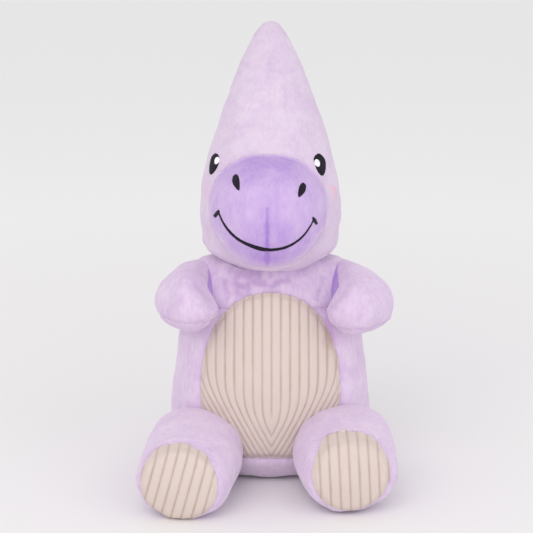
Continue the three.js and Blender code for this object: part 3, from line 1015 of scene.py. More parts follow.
@dataclass
class Torso:
    """The sitting trunk: a corduroy belly, plush all round it, and a flat seat."""

    belly_top: float = 149.0
    belly_bottom: float = 22.5
    belly_middle: float = 72.0
    belly_half: float = 55.0
    belly_foot: float = 29.0
    side_seam: float = 8.0
    yoke_seam: float = 136.0
    seat_seam: float = 21.5
    dart_height: float = 48.5  # where the wales start to lean in to the dart below the belly
    dart_spread: float = 0.62  # how much higher the outer wales start to lean
    dart_slope: float = 0.9
    dart_softness: float = 4.0
    wale_middle: float = 0.8
    # where the painted shadow under the chin lies, and how far it reaches
    chin_shade: tuple[tuple[float, float], tuple[float, float]] = ((-10, 160), (34, 13))
    # a darker patch on the belly beside the right hand
    belly_dark_patch: tuple[tuple[float, float], tuple[float, float]] = ((45, 114), (6, 13))
    shoulders: list[tuple[tuple[float, float, float], float]] = field(
        default_factory=lambda: [
            ((-46, 2, 150), 23.5), ((46, 2, 150), 23.5), ((0, -12, 149), 27.0)
        ]
    )
    chest_creases: list[tuple[float, float, float, tuple[float, float, float]]] = field(
        default_factory=lambda: [
            (-36, 150, 8, (1, 0, 0.2)), (-27, 148, 8, (1, 0, -0.1)), (-18, 150, 6, (1, 0, 0.1)),
            (-30, 154, 9, (0.1, 0, 1)), (-26, 147, 8, (0, 0, 1)), (-6, 156, 9, (0.15, 0, 1)),
            (8, 158, 8, (-0.1, 0, 1)), (40, 150, 9, (1, 0, -0.4)),
        ]
    )

    def outline(self) -> tuple[tuple[float, float], ...]:
        """The belly panel's edge in the front view."""
        half, foot, top = self.belly_half, self.belly_foot, self.belly_top
        bottom, middle = self.belly_bottom, self.belly_middle
        left = [
            *bezier((-foot, bottom), (-half + 4, bottom + 14), (-half, middle - 22),
                    (-half, middle), 10),
            *bezier((-half, middle), (-half, middle + 46), (-half + 22, top), (0, top), 18),
        ]
        return tuple(left + [(0.0, top)] + [(-x, z) for x, z in reversed(left)])

    def wales(self, points: Points) -> np.ndarray:
        """Distance across the belly's wales, which lean in to a dart at the bottom."""
        across = np.abs(points[:, 0] - self.wale_middle)
        below = self.dart_height + self.dart_spread * across - points[:, 2]
        lean = self.dart_softness * np.logaddexp(0, below / self.dart_softness)
        return across + self.dart_slope * lean

    def tone(self, points: Points) -> np.ndarray:
        """Painted shadow on the chest under the chin, a darker patch on the belly by the right
        hand, painted light on the seat, and random patches.
        """
        front = points[:, 1] < 0
        mottled = 0.55 + 0.6 * lattice_noise(points, 4.5, 43)
        # painted shadow under the chin, broken up by random mottling
        painted_chin_shadow = 0.9 * patch(points, *self.chin_shade) * front * mottled
        tone_shift = 0.8 * patch(points, *self.belly_dark_patch) * front
        # painted light: the seat, shaded between the legs, is drawn paler
        seat = 0.25 * (points[:, 2] < self.seat_seam + 1)
        return painted_chin_shadow + tone_shift + 0.12 * lattice_noise(points, 17.0, 44) - seat

    def front(self, points: Points) -> np.ndarray:
        """The part in front of the side seams."""
        return points[:, 1] < self.side_seam

    def upright(self, points: Points) -> np.ndarray:
        """The part above the seat's seam."""
        return points[:, 2] > self.seat_seam

    def belly_seam(self) -> OutlineSeam:
        """The seam round the belly panel."""
        return OutlineSeam(
            outline=self.outline(), depth=1.7, gather=0.45,
            where=lambda p: self.front(p) & (p[:, 2] > self.seat_seam - 0.5),
        )

    def in_belly(self, points: Points) -> np.ndarray:
        """The part that the belly panel covers."""
        inside = self.belly_seam().signed(points) < 0
        return self.front(points) & inside & self.upright(points)

    def crease(
        self, x: float, z: float, length: float, facing: tuple[float, float, float]
    ) -> PlaneSeam:
        """One short fold in the chest's fabric, with painted shade in its hollow."""
        near = near_point(x, z, length)
        return PlaneSeam(
            through=(x, 0, z), facing=facing, depth=1.0, width=2.0, gather=0.1, shade=0.8,
            joins=False, where=lambda p: near(p) & (p[:, 1] < 0),
        )

    def seams(self) -> list[Seam]:
        """The torso's seams, then its creases."""
        belly = self.belly_seam()
        return [
            PlaneSeam(through=(0, self.side_seam, 0), facing=(0, -1, 0), depth=1.1,
                      where=self.upright),
            belly,
            PlaneSeam(through=(0, 0, self.yoke_seam), facing=(0, 0, 1), depth=0.5, gather=0.5,
                      where=lambda p: self.front(p) & (belly.signed(p) > 0)),
            PlaneSeam(through=(0, 0, self.seat_seam), facing=(0, 0, 1), depth=1.2),
            PlaneSeam(through=(0, 0, 0), facing=(1, 0, 0), depth=1.3,
                      where=lambda p: ~self.front(p) & self.upright(p)),
            *(self.crease(*crease) for crease in self.chest_creases),
        ]

    def flank(self, points: Points, sign: int) -> np.ndarray:
        """The part beside the belly, on one side."""
        beside = self.front(points) & self.upright(points) & ~self.in_belly(points)
        return beside & (points[:, 2] < self.yoke_seam) & one_side(points, sign)

    def back(self, points: Points, sign: int) -> np.ndarray:
        """One half of the back."""
        return ~self.front(points) & self.upright(points) & one_side(points, sign)

    def yoke(self, points: Points) -> np.ndarray:
        """The chest over the belly."""
        above = points[:, 2] >= self.yoke_seam
        return self.front(points) & ~self.in_belly(points) & above

    def build(self, limbs: list[StuffedBody]) -> StuffedBody:
        """The torso's stuffed body, open where the limbs come out of it."""
        panels = [
            Panel("belly_panel", Slot.corduroy, self.in_belly, self.wales),
            Panel("chest_yoke", Slot.body_plush, self.yoke),
            Panel("left_flank_panel", Slot.body_plush, partial(self.flank, sign=-1)),
            Panel("right_flank_panel", Slot.body_plush, partial(self.flank, sign=1)),
            Panel("left_back_panel", Slot.body_plush, partial(self.back, sign=-1)),
            Panel("right_back_panel", Slot.body_plush, partial(self.back, sign=1)),
            Panel("seat_panel", Slot.body_plush, lambda p: ~self.upright(p)),
        ]
        return StuffedBody(
            "torso", tuple(panel.node for panel in panels), self.seams(), panels,
            {"torso_stuffing": Slot.polyester_fibre, "seat_pellet_pouch": Slot.pouch_cloth},
            voxel=5.0, offset=-0.4, convex=True, bulges=self.shoulders, seed=3, openings=limbs,
            tone=self.tone,
        )


@dataclass
class Head:
    """The head, drawn up into its tall crest, with the muzzle's dome sewn on in front."""

    side_seam: tuple[float, float, float] = (0, 4, 200)
    lean: float = 0.17
    cheek_height: float = 179.0  # where the cheeks are fullest
    cheek_fullness: float = 5.5
    chin_height: float = 170.0
    chin_drop: float = 5.5
    band: float = 250.0  # above this the muzzle's top edge is painted deeper, as shade
    tip: float = 346.0  # the seams run out at the tip of the crest
    neck_low: float = 168.0  # the span of the neck's bend starts here; it is given but not used
    neck_high: float = 188.0
    creases: list[tuple[float, float, float, tuple[float, float, float]]] = field(
        default_factory=lambda: [
            (-15, 322, 8, (0.1, 0, 1)), (6, 320, 9, (0.03, 0, 1)), (14, 318, 7, (-0.1, 0, 1)),
            (-4, 305, 8, (0, 0, 1)), (12, 296, 11, (1, 0, 0.05)), (-16, 290, 9, (0, 0, 1)),
            (6, 283, 8, (0.06, 0, 1)), (-14, 279, 7, (-0.05, 0, 1)), (2, 277, 10, (0.08, 0, 1)),
            (-2, 312, 12, (1, 0, 0)), (21, 306, 7, (1, 0, 0.2)),
        ]
    )
    muzzle_centre: tuple[float, float] = (-2.0, 215.6)
    muzzle_half: tuple[float, float] = (45.6, 42.6)
    muzzle_squareness: float = 2.12
    snout: float = -18.0  # the muzzle is sewn on in front of this
    dart: float = -2.5
    dart_top: float = 224.0

    def outline(self) -> tuple[tuple[float, float], ...]:
        """The muzzle's seam in the front view."""
        turns = np.linspace(0, 2 * math.pi, 56, endpoint=False)
        power = 2 / self.muzzle_squareness
        round_trip = np.stack([np.cos(turns), np.sin(turns)], axis=1)
        squared = np.copysign(np.abs(round_trip) ** power, round_trip)
        points = np.array(self.muzzle_centre) + np.array(self.muzzle_half) * squared
        return tuple(tuple(point) for point in points.tolist())

    def cheeks(self, points: Points) -> Points:
        """How far the stuffing that has settled low in the head fills out the cheeks."""
        moved = np.zeros_like(points)
        full = np.exp(-(((points[:, 2] - self.cheek_height) / 12.0) ** 2))
        beside = np.clip(np.abs(points[:, 0]) / 42.0, 0, 1) ** 2
        moved[:, 0] = np.sign(points[:, 0]) * self.cheek_fullness * full * beside
        forward = np.clip((-points[:, 1] - 8) / 40.0, 0, 1)
        low = np.exp(-(((points[:, 2] - self.chin_height) / 15.0) ** 2))
        moved[:, 2] = -self.chin_drop * forward * low
        return moved

    def tone(self, points: Points) -> np.ndarray:
        """How much deeper the muzzle and face are drawn: the muzzle's own violet, painted shade
        along its top edge and in its dart, bands beside the dart low down, a little at the chin,
        and random patches.
        """
        x, y, z = points.T
        from_dart = x - self.dart
        within = -OutlineSeam(outline=self.outline()).signed(points)
        snout = np.clip((-20 - y) / 20, 0, 1) * np.clip(within / 2, 0, 1)
        # painted shade along the muzzle's top edge
        top = np.clip((z - self.band + 0.004 * x**2 + 12) / 16, 0, 1)
        low = np.clip((222 - z) / 26, 0, 1)
        beside = np.exp(-(((np.abs(from_dart) - 8) / 10) ** 2)) * low
        # painted shade in the dart's crease
        dart = np.exp(-((from_dart / 2.2) ** 2)) * low
        chin = np.clip((206 - z) / 20, 0, 1) * np.exp(-((x / 34) ** 2))
        faded = np.where(z < 200, np.clip(within / 9, 0, 1), 1.0)
        deep = 0.3 + 0.36 * top + 0.22 * beside + 0.36 * dart + 0.06 * chin
        return snout * faded * deep + 0.14 * lattice_noise(points, 13.0, 41)

    def side(self) -> PlaneSeam:
        """The seam down both sides of the head, between the face and the crest's back."""
        return PlaneSeam(through=self.side_seam, facing=(0, -1, self.lean), depth=1.0,
                         where=lambda p: p[:, 2] < self.tip)

    def front(self, points: Points) -> np.ndarray:
        """The part in front of the side seam."""
        return self.side().signed(points) > 0

    def muzzle(self) -> OutlineSeam:
        """The seam round the muzzle."""
        return OutlineSeam(outline=self.outline(), where=in_front(self.snout), depth=1.2,
                           width=2.0, gather=0.3, shade=0.3)

    def in_muzzle(self, points: Points) -> np.ndarray:
        """The part that the muzzle's panel covers."""
        inside = self.muzzle().signed(points) < 0
        return self.front(points) & inside & (points[:, 1] < self.snout)

    def crest(self, points: Points, sign: int) -> np.ndarray:
        """One half of the back of the head and crest."""
        return ~self.front(points) & one_side(points, sign)

    def crease(
        self, x: float, z: float, length: float, facing: tuple[float, float, float]
    ) -> PlaneSeam:
        """One short, shallow fold in the crest's fabric, with painted shade in its hollow."""
        return PlaneSeam(through=(x, 0, z), facing=facing, depth=0.4, width=2.0, gather=0.0,
                         shade=0.4, joins=False, where=near_point(x, z, length))

    def seams(self) -> list[Seam]:
        """The head's seams, then its creases."""
        return [
            self.side(),
            self.muzzle(),
            PlaneSeam(through=(self.dart, 0, 0), facing=(1, 0, 0), depth=0.8, width=1.2,
                      gather=0.5, joins=False,
                      where=lambda p: self.in_muzzle(p) & (p[:, 2] < self.dart_top)),
            PlaneSeam(through=(0, 0, 0), facing=(1, 0, 0), depth=1.2,
                      where=lambda p: ~self.front(p) & (p[:, 2] < self.tip)),
            *(self.crease(*crease) for crease in self.creases),
        ]

    def build(self) -> StuffedBody:
        """The head's stuffed body."""
        panels = [
            Panel("face_panel", Slot.crest_plush, lambda p: self.front(p) & ~self.in_muzzle(p)),
            Panel("muzzle_panel", Slot.muzzle_plush, self.in_muzzle),
            Panel("left_crest_panel", Slot.crest_plush, partial(self.crest, sign=-1)),
            Panel("right_crest_panel", Slot.crest_plush, partial(self.crest, sign=1)),
        ]
        return StuffedBody(
            "head", ("head_stuffing",), self.seams(), panels,
            {"head_stuffing": Slot.polyester_fibre}, offset=2.0, swell=3.0, settled=self.cheeks,
            tone=self.tone, seed=5, bend=("neck", (0, 0, self.neck_low), (0, 0, self.neck_high)),
        )


@dataclass
class Arm:
    """One short arm, with a darker gusset on its inner side; its bend at the armhole is given but
    not made.
    """

    side: str
    sign: int  # -1 for the left of the picture, 1 for the right
    hand_seam: float  # height of the seam between the arm and the hand
    elbow: float  # how much fuller the elbow is than its CAD solid
    gusset: tuple[float, float, float]
    gusset_radius: float = 15.0
    gusset_margin: float = 4.0  # how far the gusset reaches past its middle, outwards
    paw_start: tuple[float, float] = (63.0, -36.0)  # where the paw starts to narrow
    paw_level: float = 138.0  # the tip narrows down to this height
    shoulder: tuple[float, float] = (60.0, 150.0)
    armhole: tuple[float, float] = (-6.0, 18.0)  # where the bend starts and ends

    def settled(self, points: Points) -> Points:
        """How far the stuffing narrows the paw to its tip, and fills the elbow out."""
        outward = self.sign * points[:, 0]
        moved = np.zeros_like(points)
        tip = np.clip((self.paw_start[0] - outward) / 18, 0, 1)
        tip *= np.clip((self.paw_start[1] - points[:, 1]) / 12, 0, 1)
        moved[:, 2] = -0.72 * tip * np.maximum(points[:, 2] - self.paw_level, 0)
        root = np.exp(-(((outward - self.shoulder[0]) / 13) ** 2))
        moved[:, 2] += 3.0 * root * np.clip((points[:, 2] - self.shoulder[1]) / 15, 0, 1)
        moved[:, 0] = self.sign * self.elbow * np.clip((outward - 66) / 20, 0, 1)
        return moved

    def inward(self, points: Points) -> np.ndarray:
        """The part on the gusset's side of the arm."""
        return self.sign * points[:, 0] < self.gusset[0] + self.gusset_margin

    def gusset_seam(self) -> RingSeam:
        """The seam round the gusset."""
        x, y, z = self.gusset
        return RingSeam(centre=(self.sign * x, y, z), axis=(0, 0, 1), radius=self.gusset_radius,
                        depth=0.9, where=self.inward)

    def in_gusset(self, points: Points) -> np.ndarray:
        """The part that the gusset covers."""
        return (self.gusset_seam().signed(points) < 0) & self.inward(points)

    def tone(self, points: Points) -> np.ndarray:
        """The gusset is the darkest, and the front of the arm is drawn a little deeper."""
        front_deepening = 0.15 * np.clip((-10 - points[:, 1]) / 25, 0, 1)
        return np.where(self.in_gusset(points), 0.75, front_deepening)

    def cover(self, points: Points, above: bool) -> np.ndarray:
        """The arm's own panel above the hand's seam, or the hand's below it."""
        part = points[:, 2] >= self.hand_seam if above else points[:, 2] < self.hand_seam
        return ~self.in_gusset(points) & part

    def build(self) -> StuffedBody:
        """The arm's stuffed body."""
        palm = PlaneSeam(through=(0, 0, self.hand_seam), facing=(0, 0, 1), depth=0.8, width=1.6,
                         gather=0.9, shade=0.35)
        panels = [
            Panel(self.side + "_arm_panel", Slot.body_plush, partial(self.cover, above=True)),
            Panel(self.side + "_hand_panel", Slot.body_plush, partial(self.cover, above=False)),
            Panel(self.side + "_underarm_gusset", Slot.muzzle_plush, self.in_gusset),
        ]
        x, y, z = pivot_of(self.side + "_shoulder")
        stuffing = self.side + "_arm_stuffing"
        start, end = (x + self.sign * reach for reach in self.armhole)
        return StuffedBody(
            self.side + "_arm", (stuffing,), [palm, self.gusset_seam()], panels,
            {stuffing: Slot.polyester_fibre}, voxel=4.0, offset=2.0, seed=7 + self.sign,
            settled=self.settled, tone=self.tone,
            bend=("torso", (start, y + 2, z), (end, y - 6, z)),
        )


@dataclass
class Leg:
    """One fat leg, with its corduroy sole; its bend at the hip is given but not made."""

    side: str
    sign: int
    spread: float  # how much further out the foot lies than its CAD solid
    stretch: float  # how much further forward the foot reaches
    sole_lift: float
    wale_slant: float  # degrees from upright
    sink: float = 3.0
    sole_radius: float = 29.0
    sole_flattened: float = 0.07
    sole_margin: float = 3.0
    toe_out: float = 0.55  # how far the sole turns out, as a share of the leg's own turn
    wale_start: float = 400.0  # keeps the distance across the wales positive
    thigh: tuple[float, float, float] = (76.0, -52.0, 50.0)
    thigh_reach: tuple[float, float, float] = (22.0, 34.0, 24.0)
    hip_bend: tuple[float, float] = (-8.0, 34.0)  # where the bend starts and ends

    def settled(self, points: Points) -> Points:
        """How far the stuffing fills the thigh high on its outer side and reaches forward."""
        x, y, z = self.thigh
        away = points - np.array([self.sign * x, y, z])
        full = np.exp(-((away / self.thigh_reach) ** 2).sum(1))
        outer = np.clip((self.sign * points[:, 0] - 62) / 30, 0, 1) * self.spread
        forward = np.clip((-60 - points[:, 1]) / 60, 0, 1)
        moved = full[:, None] * np.array([self.sign * 5.0, 0, 7.0])
        moved += outer[:, None] * np.array([self.sign, 0, 0])
        return moved + forward[:, None] * np.array([0, -self.stretch, -self.sink])

    def wales(self, points: Points) -> np.ndarray:
        """Distance across the sole's wales."""
        slant = math.radians(self.wale_slant)
        across = points[:, 0] * math.cos(slant) - points[:, 2] * math.sin(slant)
        return across + self.wale_start

    def build(self) -> StuffedBody:
        """The leg's stuffed body."""
        low, high = box_of(self.side + "_sole")
        x, y, z = (low + high) / 2
        hip = pivot_of(self.side + "_hip")
        at_foot = in_front(high[1] + self.sole_margin)
        sole = RingSeam(
            centre=(x, y, z - self.sink + self.sole_lift),
            axis=(self.toe_out * (x - hip[0]), y - hip[1], 0),
            radius=self.sole_radius, flattened=self.sole_flattened, depth=1.2, where=at_foot,
        )
        in_sole = partial(inside_seam, seam=sole, where=at_foot)
        panels = [
            Panel(self.side + "_leg_panel", Slot.body_plush, lambda p: ~in_sole(p)),
            Panel(self.side + "_sole", Slot.corduroy, in_sole, self.wales),
        ]
        reach = np.array([x, y, hip[2]]) - hip
        reach /= np.linalg.norm(reach)
        start, end = (tuple(hip + along * reach) for along in self.hip_bend)
        stuffing = self.side + "_leg_stuffing"
        return StuffedBody(
            self.side + "_leg", (stuffing,), [sole], panels, {stuffing: Slot.polyester_fibre},
            voxel=4.2, offset=2.1, seed=11 + self.sign, settled=self.settled,
            bend=("torso", start, end),
        )


@dataclass
class Tail:
    """The short tail behind the seat; its sway where it is sewn on is given but not made."""

    root: tuple[float, float] = (-6.0, 22.0)  # where the bend starts and ends

    def build(self) -> StuffedBody:
        """The tail's stuffed body."""
        middle = PlaneSeam(through=(0, 0, 0), facing=(1, 0, 0), depth=1.1)
        panels = [
            Panel("left_tail_panel", Slot.body_plush, partial(one_side, sign=-1)),
            Panel("right_tail_panel", Slot.body_plush, partial(one_side, sign=1)),
        ]
        x, y, z = pivot_of("tail_sway")
        start, end = ((x, y + back, z) for back in self.root)
        return StuffedBody(
            "tail", ("tail_stuffing",), [middle], panels, {"tail_stuffing": Slot.polyester_fibre},
            voxel=4.0, offset=2.0, seed=17, bend=("torso", start, end),
        )


@dataclass
class NeckPlug:
    """The plug of fill that joins the head to the torso, out of sight between them."""

    node: str = "neck_stuffing"
    shrink: float = 2.5

    def build(self) -> None:
        """Makes the plug and hangs it on the neck."""
        plug = StuffedBody("neck", (self.node,), [], [], {}, seed=23)
        piece = plug.copied_filling(self.node)
        points = read_points(piece.data) - self.shrink * read_normals(piece.data)
        write_points(piece.data, points)
        dress(piece, Slot.polyester_fibre)
        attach(piece, "neck")
        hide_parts(self.node)


# ------------------------------------------------------------------ embroidery

Stroke = tuple[tuple[float, float, float], ...]


@dataclass(frozen=True)
class SatinStitch:
    """One piece of satin stitch, laid side by side across its strokes.

    Attributes:
        node: The CAD node that it stands for.
        slot: The record's material slot.
        at: Where its own plane's origin is, in toy millimetres.
        yaw: Which way it faces, in degrees round from straight ahead.
        strokes: Points on each stroke's middle, as across, up and half width.
        height: How high the thread stands over the fabric.
    """

    node: str
    slot: Slot
    at: tuple[float, float, float]
    yaw: float
    strokes: tuple[Stroke, ...]
    height: float = 0.6

    STEP = 0.2
    PITCH = 0.8  # real stitches are about 0.4 mm apart; drawn wider, so that they show
    ACROSS = 11
    DEPTH = 0.9  # how far the thread goes down into the pile
    CLEARANCE = 120.0

    def middle(self, stroke: Stroke) -> tuple[Points, np.ndarray, np.ndarray]:
        """Even points on a stroke's middle, the direction across it, and its half width."""
        given = np.array(stroke)
        run = np.r_[0, np.cumsum(np.linalg.norm(np.diff(given[:, :2], axis=0), axis=1))]
        even = np.linspace(0, run[-1], max(int(run[-1] / self.STEP), 6))
        line = np.stack([np.interp(even, run, column) for column in given.T], axis=1)
        window = max(min(int(2.0 / self.STEP), len(line) // 9), 1)
        padded = np.pad(line, ((window, window), (0, 0)), mode="reflect", reflect_type="odd")
        kernel = np.ones(2 * window + 1) / (2 * window + 1)
        line = np.stack([np.convolve(c, kernel, mode="valid") for c in padded.T], axis=1)
        along = np.gradient(line[:, :2], axis=0)
        along /= np.linalg.norm(along, axis=1)[:, None]
        return line[:, :2], np.stack([-along[:, 1], along[:, 0]], axis=1), line[:, 2]

    def sew(self, fabric: BVHTree, body: str, level: float = 0.0) -> None:
        """Lays the thread on the fabric.

        Args:
            fabric: The surface that it is sewn to.
            body: The frame's body that it rides on.
            level: How far above the fabric it starts, where it covers other thread.
        """
        turn = math.radians(self.yaw)
        right = np.array([math.cos(turn), math.sin(turn), 0.0])
        out = np.array([math.sin(turn), -math.cos(turn), 0.0])
        points: list[Points] = []
        faces: list[tuple[int, ...]] = []
        for number, stroke in enumerate(self.strokes):
            line, across, half = self.middle(stroke)
            shares = np.linspace(-1, 1, self.ACROSS)
            rows = np.arange(len(line))
            ragged = 0.1 * lattice_noise(np.stack([rows, rows * 0, rows * 0], 1), 2.3, 60 + number)
            wide = np.maximum(half + ragged, 0.15)
            flat = line[:, None] + across[:, None] * (wide[:, None] * shares)[..., None]
            flat = flat.reshape(-1, 2)
            start = np.array(self.at) + np.outer(flat[:, 0], right) + out * self.CLEARANCE
            start[:, 2] += flat[:, 1]
            hits, normals = self.cast(fabric, start, -out)
            ridge = 0.07 * np.cos(2 * math.pi * rows * self.STEP / self.PITCH)
            round_over = np.sqrt(np.maximum(1 - shares**2, 0))
            dome = ((self.height + ridge)[:, None] * round_over**0.7).ravel() + level
            base = sum(len(p) for p in points)
            points += [hits + dome[:, None] * normals, hits - self.DEPTH * normals]
            faces += self.skin(len(line), base)
        piece = new_object(self.node + "_satin", np.concatenate(points), faces)
        dress(piece, self.slot)
        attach(piece, body)
        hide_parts(self.node)

    def cast(self, fabric: BVHTree, start: Points, way: np.ndarray) -> tuple[Points, Points]:
        """Where the thread meets the fabric, and which way the fabric faces there."""
        hits = np.zeros_like(start)
        normals = np.zeros_like(start)
        for number, origin in enumerate(start):
            place, normal, _, _ = fabric.ray_cast(origin, way)
            if place is None:
                place, normal, _, _ = fabric.find_nearest(origin + way * self.CLEARANCE)
            hits[number], normals[number] = place, normal
        return hits, normals

    def skin(self, rows: int, base: int) -> list[tuple[int, ...]]:
        """The faces of one stroke: its top, its underside and its rim."""
        wide = self.ACROSS
        top = np.arange(rows * wide).reshape(rows, wide) + base
        under = top + rows * wide
        quads = []
        for sheet, flip in ((top, False), (under, True)):
            for r in range(rows - 1):
                for c in range(wide - 1):
                    quad = (sheet[r, c], sheet[r + 1, c], sheet[r + 1, c + 1], sheet[r, c + 1])
                    quads.append(quad if flip else quad[::-1])
        rim = [*top[0, :], *top[1:, -1], *top[-1, -2::-1], *top[-2:0:-1, 0]]
        low = [vertex + rows * wide for vertex in rim]
        for i in range(len(rim)):
            j = (i + 1) % len(rim)
            quads.append((rim[j], rim[i], low[i], low[j]))
        return [tuple(int(v) for v in quad) for quad in quads]


@dataclass
class Face:
    """The embroidered eyes, nostrils, smile and blush."""

    stitches: tuple[SatinStitch, ...] = (
        SatinStitch("left_eye", Slot.black_thread, (-43, -22, 249), -47, ((
            (-2.9, -9.0, 1.4), (-2.9, -7.8, 3.2), (-2.7, -5.0, 5.2), (-2.3, -1.5, 6.5),
            (-1.9, 1.4, 6.8), (-1.5, 4.1, 5.9), (-1.3, 5.9, 3.9), (-1.2, 6.8, 1.6)),)),
        SatinStitch("right_eye", Slot.black_thread, (37.5, -26, 248.5), 43, ((
            (-0.4, -8.2, 1.4), (-0.4, -7.0, 3.2), (-0.2, -3.9, 5.3), (0.1, 0, 6.5),
            (0.4, 2.7, 6.7), (0.7, 5.3, 5.7), (1.0, 7.0, 3.7), (1.1, 7.9, 1.6)),)),
        SatinStitch("left_nostril", Slot.black_thread, (-25, -60, 240.5), -14, ((
            (4.2, -5.0, 0.5), (3.2, -3.6, 1.5), (1.6, -1.4, 2.6), (-0.3, 0.9, 3.3),
            (-1.8, 2.6, 3.0), (-2.9, 3.9, 1.7)),)),
        SatinStitch("right_nostril", Slot.black_thread, (22, -60, 235.5), 12, ((
            (-3.6, -4.8, 0.5), (-2.8, -3.5, 1.5), (-1.3, -1.4, 2.6), (0.5, 0.7, 3.1),
            (1.9, 2.2, 2.8), (2.9, 3.3, 1.6)),)),
        SatinStitch("smile", Slot.black_thread, (0, -60, 0), 0, (
            ((-39.3, 217.5, 0.6), (-36.4, 211.5, 0.8), (-33, 206.5, 1.0), (-28.7, 202, 1.1),
             (-24, 198.5, 1.25), (-18, 195.6, 1.45), (-12, 193.3, 1.7), (-8, 192.0, 1.95),
             (-4, 191.1, 1.5), (0, 190.9, 1.3), (5.5, 191.4, 1.2), (11, 192.6, 1.15),
             (16.3, 194.8, 1.0), (21, 197.8, 0.9), (25, 201.2, 0.75), (28, 205, 0.65),
             (30.8, 209.2, 0.55), (32.5, 213, 0.55)),
            ((-38.7, 218.6, 0.9), (-40.4, 215.9, 1.4), (-42.4, 212.7, 1.2)),
            ((31.7, 214.3, 0.8), (33.2, 211.6, 1.3), (35.0, 207.9, 1.0)),
        ), 0.55),
        SatinStitch("left_blush", Slot.pink_thread, (-50, -16, 226.5), -58, (
            ((-1.8, 2.2, 1.0), (0, 0.9, 2.0), (1.8, -0.6, 1.0)),
            ((-1.2, -2.2, 0.9), (0.5, -3.2, 1.6), (2.0, -4.4, 0.9)),
        ), 0.1),
        SatinStitch("right_blush", Slot.pink_thread, (47.5, -19, 226.5), 52, (
            ((-4.2, 4.6, 1.2), (-2.2, 3.2, 2.2), (-0.2, 1.4, 1.2)),
            ((-0.2, 2.6, 1.2), (2.4, 0.6, 2.5), (4.4, -1.8, 1.2)),
            ((-2.4, -1.6, 1.0), (0.4, -3.2, 2.1), (2.6, -5.0, 1.0)),
        ), 0.1),
    )
    glints: tuple[SatinStitch, ...] = (
        SatinStitch("left_eye_glint", Slot.white_thread, (-42, -24, 251), -44, ((
            (-0.9, -2.8, 0.9), (-0.7, -1.7, 2.3), (-0.4, 0, 2.9), (-0.1, 1.6, 2.3),
            (0.0, 2.5, 0.9)),), 0.35),
        SatinStitch("right_eye_glint", Slot.white_thread, (35, -28, 250), 41, ((
            (0.1, -2.8, 0.9), (0.0, -1.7, 2.3), (-0.2, 0, 2.9), (-0.4, 1.6, 2.3),
            (-0.5, 2.6, 0.9)),), 0.35),
    )
    level: float = 0.55  # the glints are sewn over the eyes

    def sew(self, fabric: BVHTree) -> None:
        """Sews the face to the head's fabric."""
        for stitch in self.stitches:
            stitch.sew(fabric, "head")
        for stitch in self.glints:
            stitch.sew(fabric, "head", self.level)


# ------------------------------------------------------------------ stage


@dataclass(frozen=True)
class SoftBox:
    """One round soft box: where it stands, its size in metres, its power and its colour."""

    name: str
    place: tuple[float, float, float]
    size: float
    watts: float
    colour: str


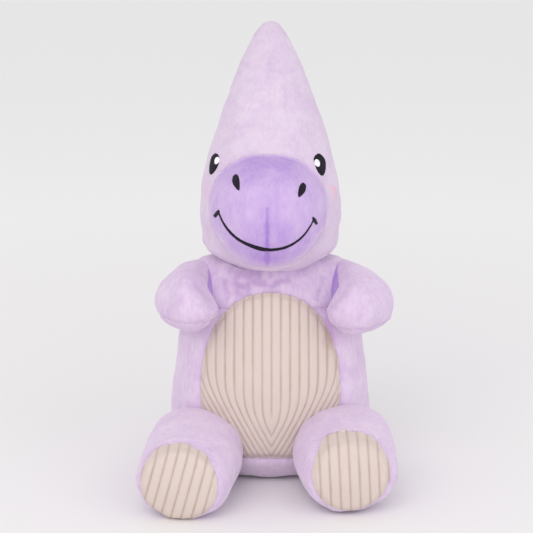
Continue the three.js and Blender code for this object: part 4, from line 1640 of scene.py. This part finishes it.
@dataclass
class Studio:
    """The pale floor, the soft lights and the camera."""

    distance: float = 1250.0
    elevation: float = 12.0
    aim: tuple[float, float, float] = (0, 0, 160)
    view_width: float = 426.4  # millimetres across the picture at the aim point
    sensor: float = 36.0
    shift: tuple[float, float] = (-0.0075, 0.0056)
    chest: tuple[float, float, float] = (0, 0, 170)
    lamps: tuple[SoftBox, ...] = (
        SoftBox("key", (-500, -1300, 1250), 1.3, 7.0, "#fffaf6"),
        SoftBox("low", (0, -1300, 40), 1.2, 2.6, "#fffdfb"),
        SoftBox("fill", (1000, -1100, 700), 1.6, 3.0, "#fbf9ff"),
    )
    room_colour: str = "#fbfafb"
    room_strength: float = 0.83
    floor_size: float = 80.0  # metres, so that its far edge stays behind the horizon

    def set_camera(self) -> None:
        """Places the camera in front of the toy, a little above it."""
        tilt = math.radians(self.elevation)
        back = Vector((0, -math.cos(tilt), math.sin(tilt)))
        data = bpy.data.cameras.new("camera")
        data.sensor_width = self.sensor
        data.lens = self.sensor * self.distance / self.view_width
        data.shift_x, data.shift_y = self.shift
        camera = bpy.data.objects.new("camera", data)
        camera.location = Vector(to_row(self.aim)) + back * self.distance * MM
        camera.rotation_mode = "QUATERNION"
        camera.rotation_quaternion = (-back).to_track_quat("-Z", "Y")
        bpy.context.scene.collection.objects.link(camera)
        bpy.context.scene.camera = camera

    def add_light(self, lamp: SoftBox) -> None:
        """Adds one soft box aimed at the toy's chest."""
        data = bpy.data.lights.new(lamp.name, "AREA")
        data.shape = "DISK"
        data.size = lamp.size
        data.energy = lamp.watts
        data.color = linear(lamp.colour)[:3]
        made = bpy.data.objects.new(lamp.name, data)
        made.location = to_row(lamp.place)
        aim = Vector(to_row(self.chest)) - made.location
        made.rotation_mode = "QUATERNION"
        made.rotation_quaternion = aim.to_track_quat("-Z", "Y")
        bpy.context.scene.collection.objects.link(made)

    def light(self) -> None:
        """Sets the soft boxes and the room's own light."""
        for lamp in self.lamps:
            self.add_light(lamp)
        world = bpy.data.worlds.new("room")
        world.use_nodes = True
        world.node_tree.nodes.clear()
        room = add_node(world.node_tree, "Background",
                        {"Color": linear(self.room_colour), "Strength": self.room_strength})
        add_node(world.node_tree, "OutputWorld", links={"Surface": room.outputs[0]})
        bpy.context.scene.world = world
        bpy.context.scene.view_settings.view_transform = "Standard"

    def lay_floor(self) -> None:
        """Lays the paper sweep that the toy sits on."""
        bpy.ops.mesh.primitive_plane_add(size=self.floor_size, location=(0, 0, 0))
        floor = bpy.context.object
        floor.name = "floor"
        floor.data.materials.append(StudioPaper("studio_paper").material())


# ------------------------------------------------------------------ main


def main() -> None:
    """Builds the toy and its stage."""
    logging.basicConfig(level=logging.INFO, format="%(message)s")
    studio = Studio()
    studio.set_camera()
    arms = [
        Arm("left", -1, hand_seam=131.5, elbow=0.5, gusset=(45.0, -22.0, 151.0)).build(),
        Arm("right", 1, hand_seam=126.0, elbow=3.5, gusset=(49.0, -22.0, 151.0)).build(),
    ]
    legs = [
        Leg("left", -1, spread=0.5, stretch=7.0, sole_lift=2.0, wale_slant=15).build(),
        Leg("right", 1, spread=3.5, stretch=11.0, sole_lift=4.0, wale_slant=-3).build(),
    ]
    limbs = [*arms, *legs, Tail().build()]
    torso = Torso().build(limbs)
    head = Head().build()
    for body in [*limbs, torso, head]:
        body.stuff()
        LOG.info("%s is stuffed", body.body)
    torso.rest_against(head, HEAD_TURNS)
    for arm in arms:
        arm.rest_against(head, [0.0])
    for body in [*limbs, torso, head]:
        body.draw_in()
    Face().sew(head.tree())
    for body in [torso, head, *limbs]:
        body.cut()
        body.pack_filling()
    NeckPlug().build()
    studio.lay_floor()
    studio.light()


if __name__ == "__main__":
    main()
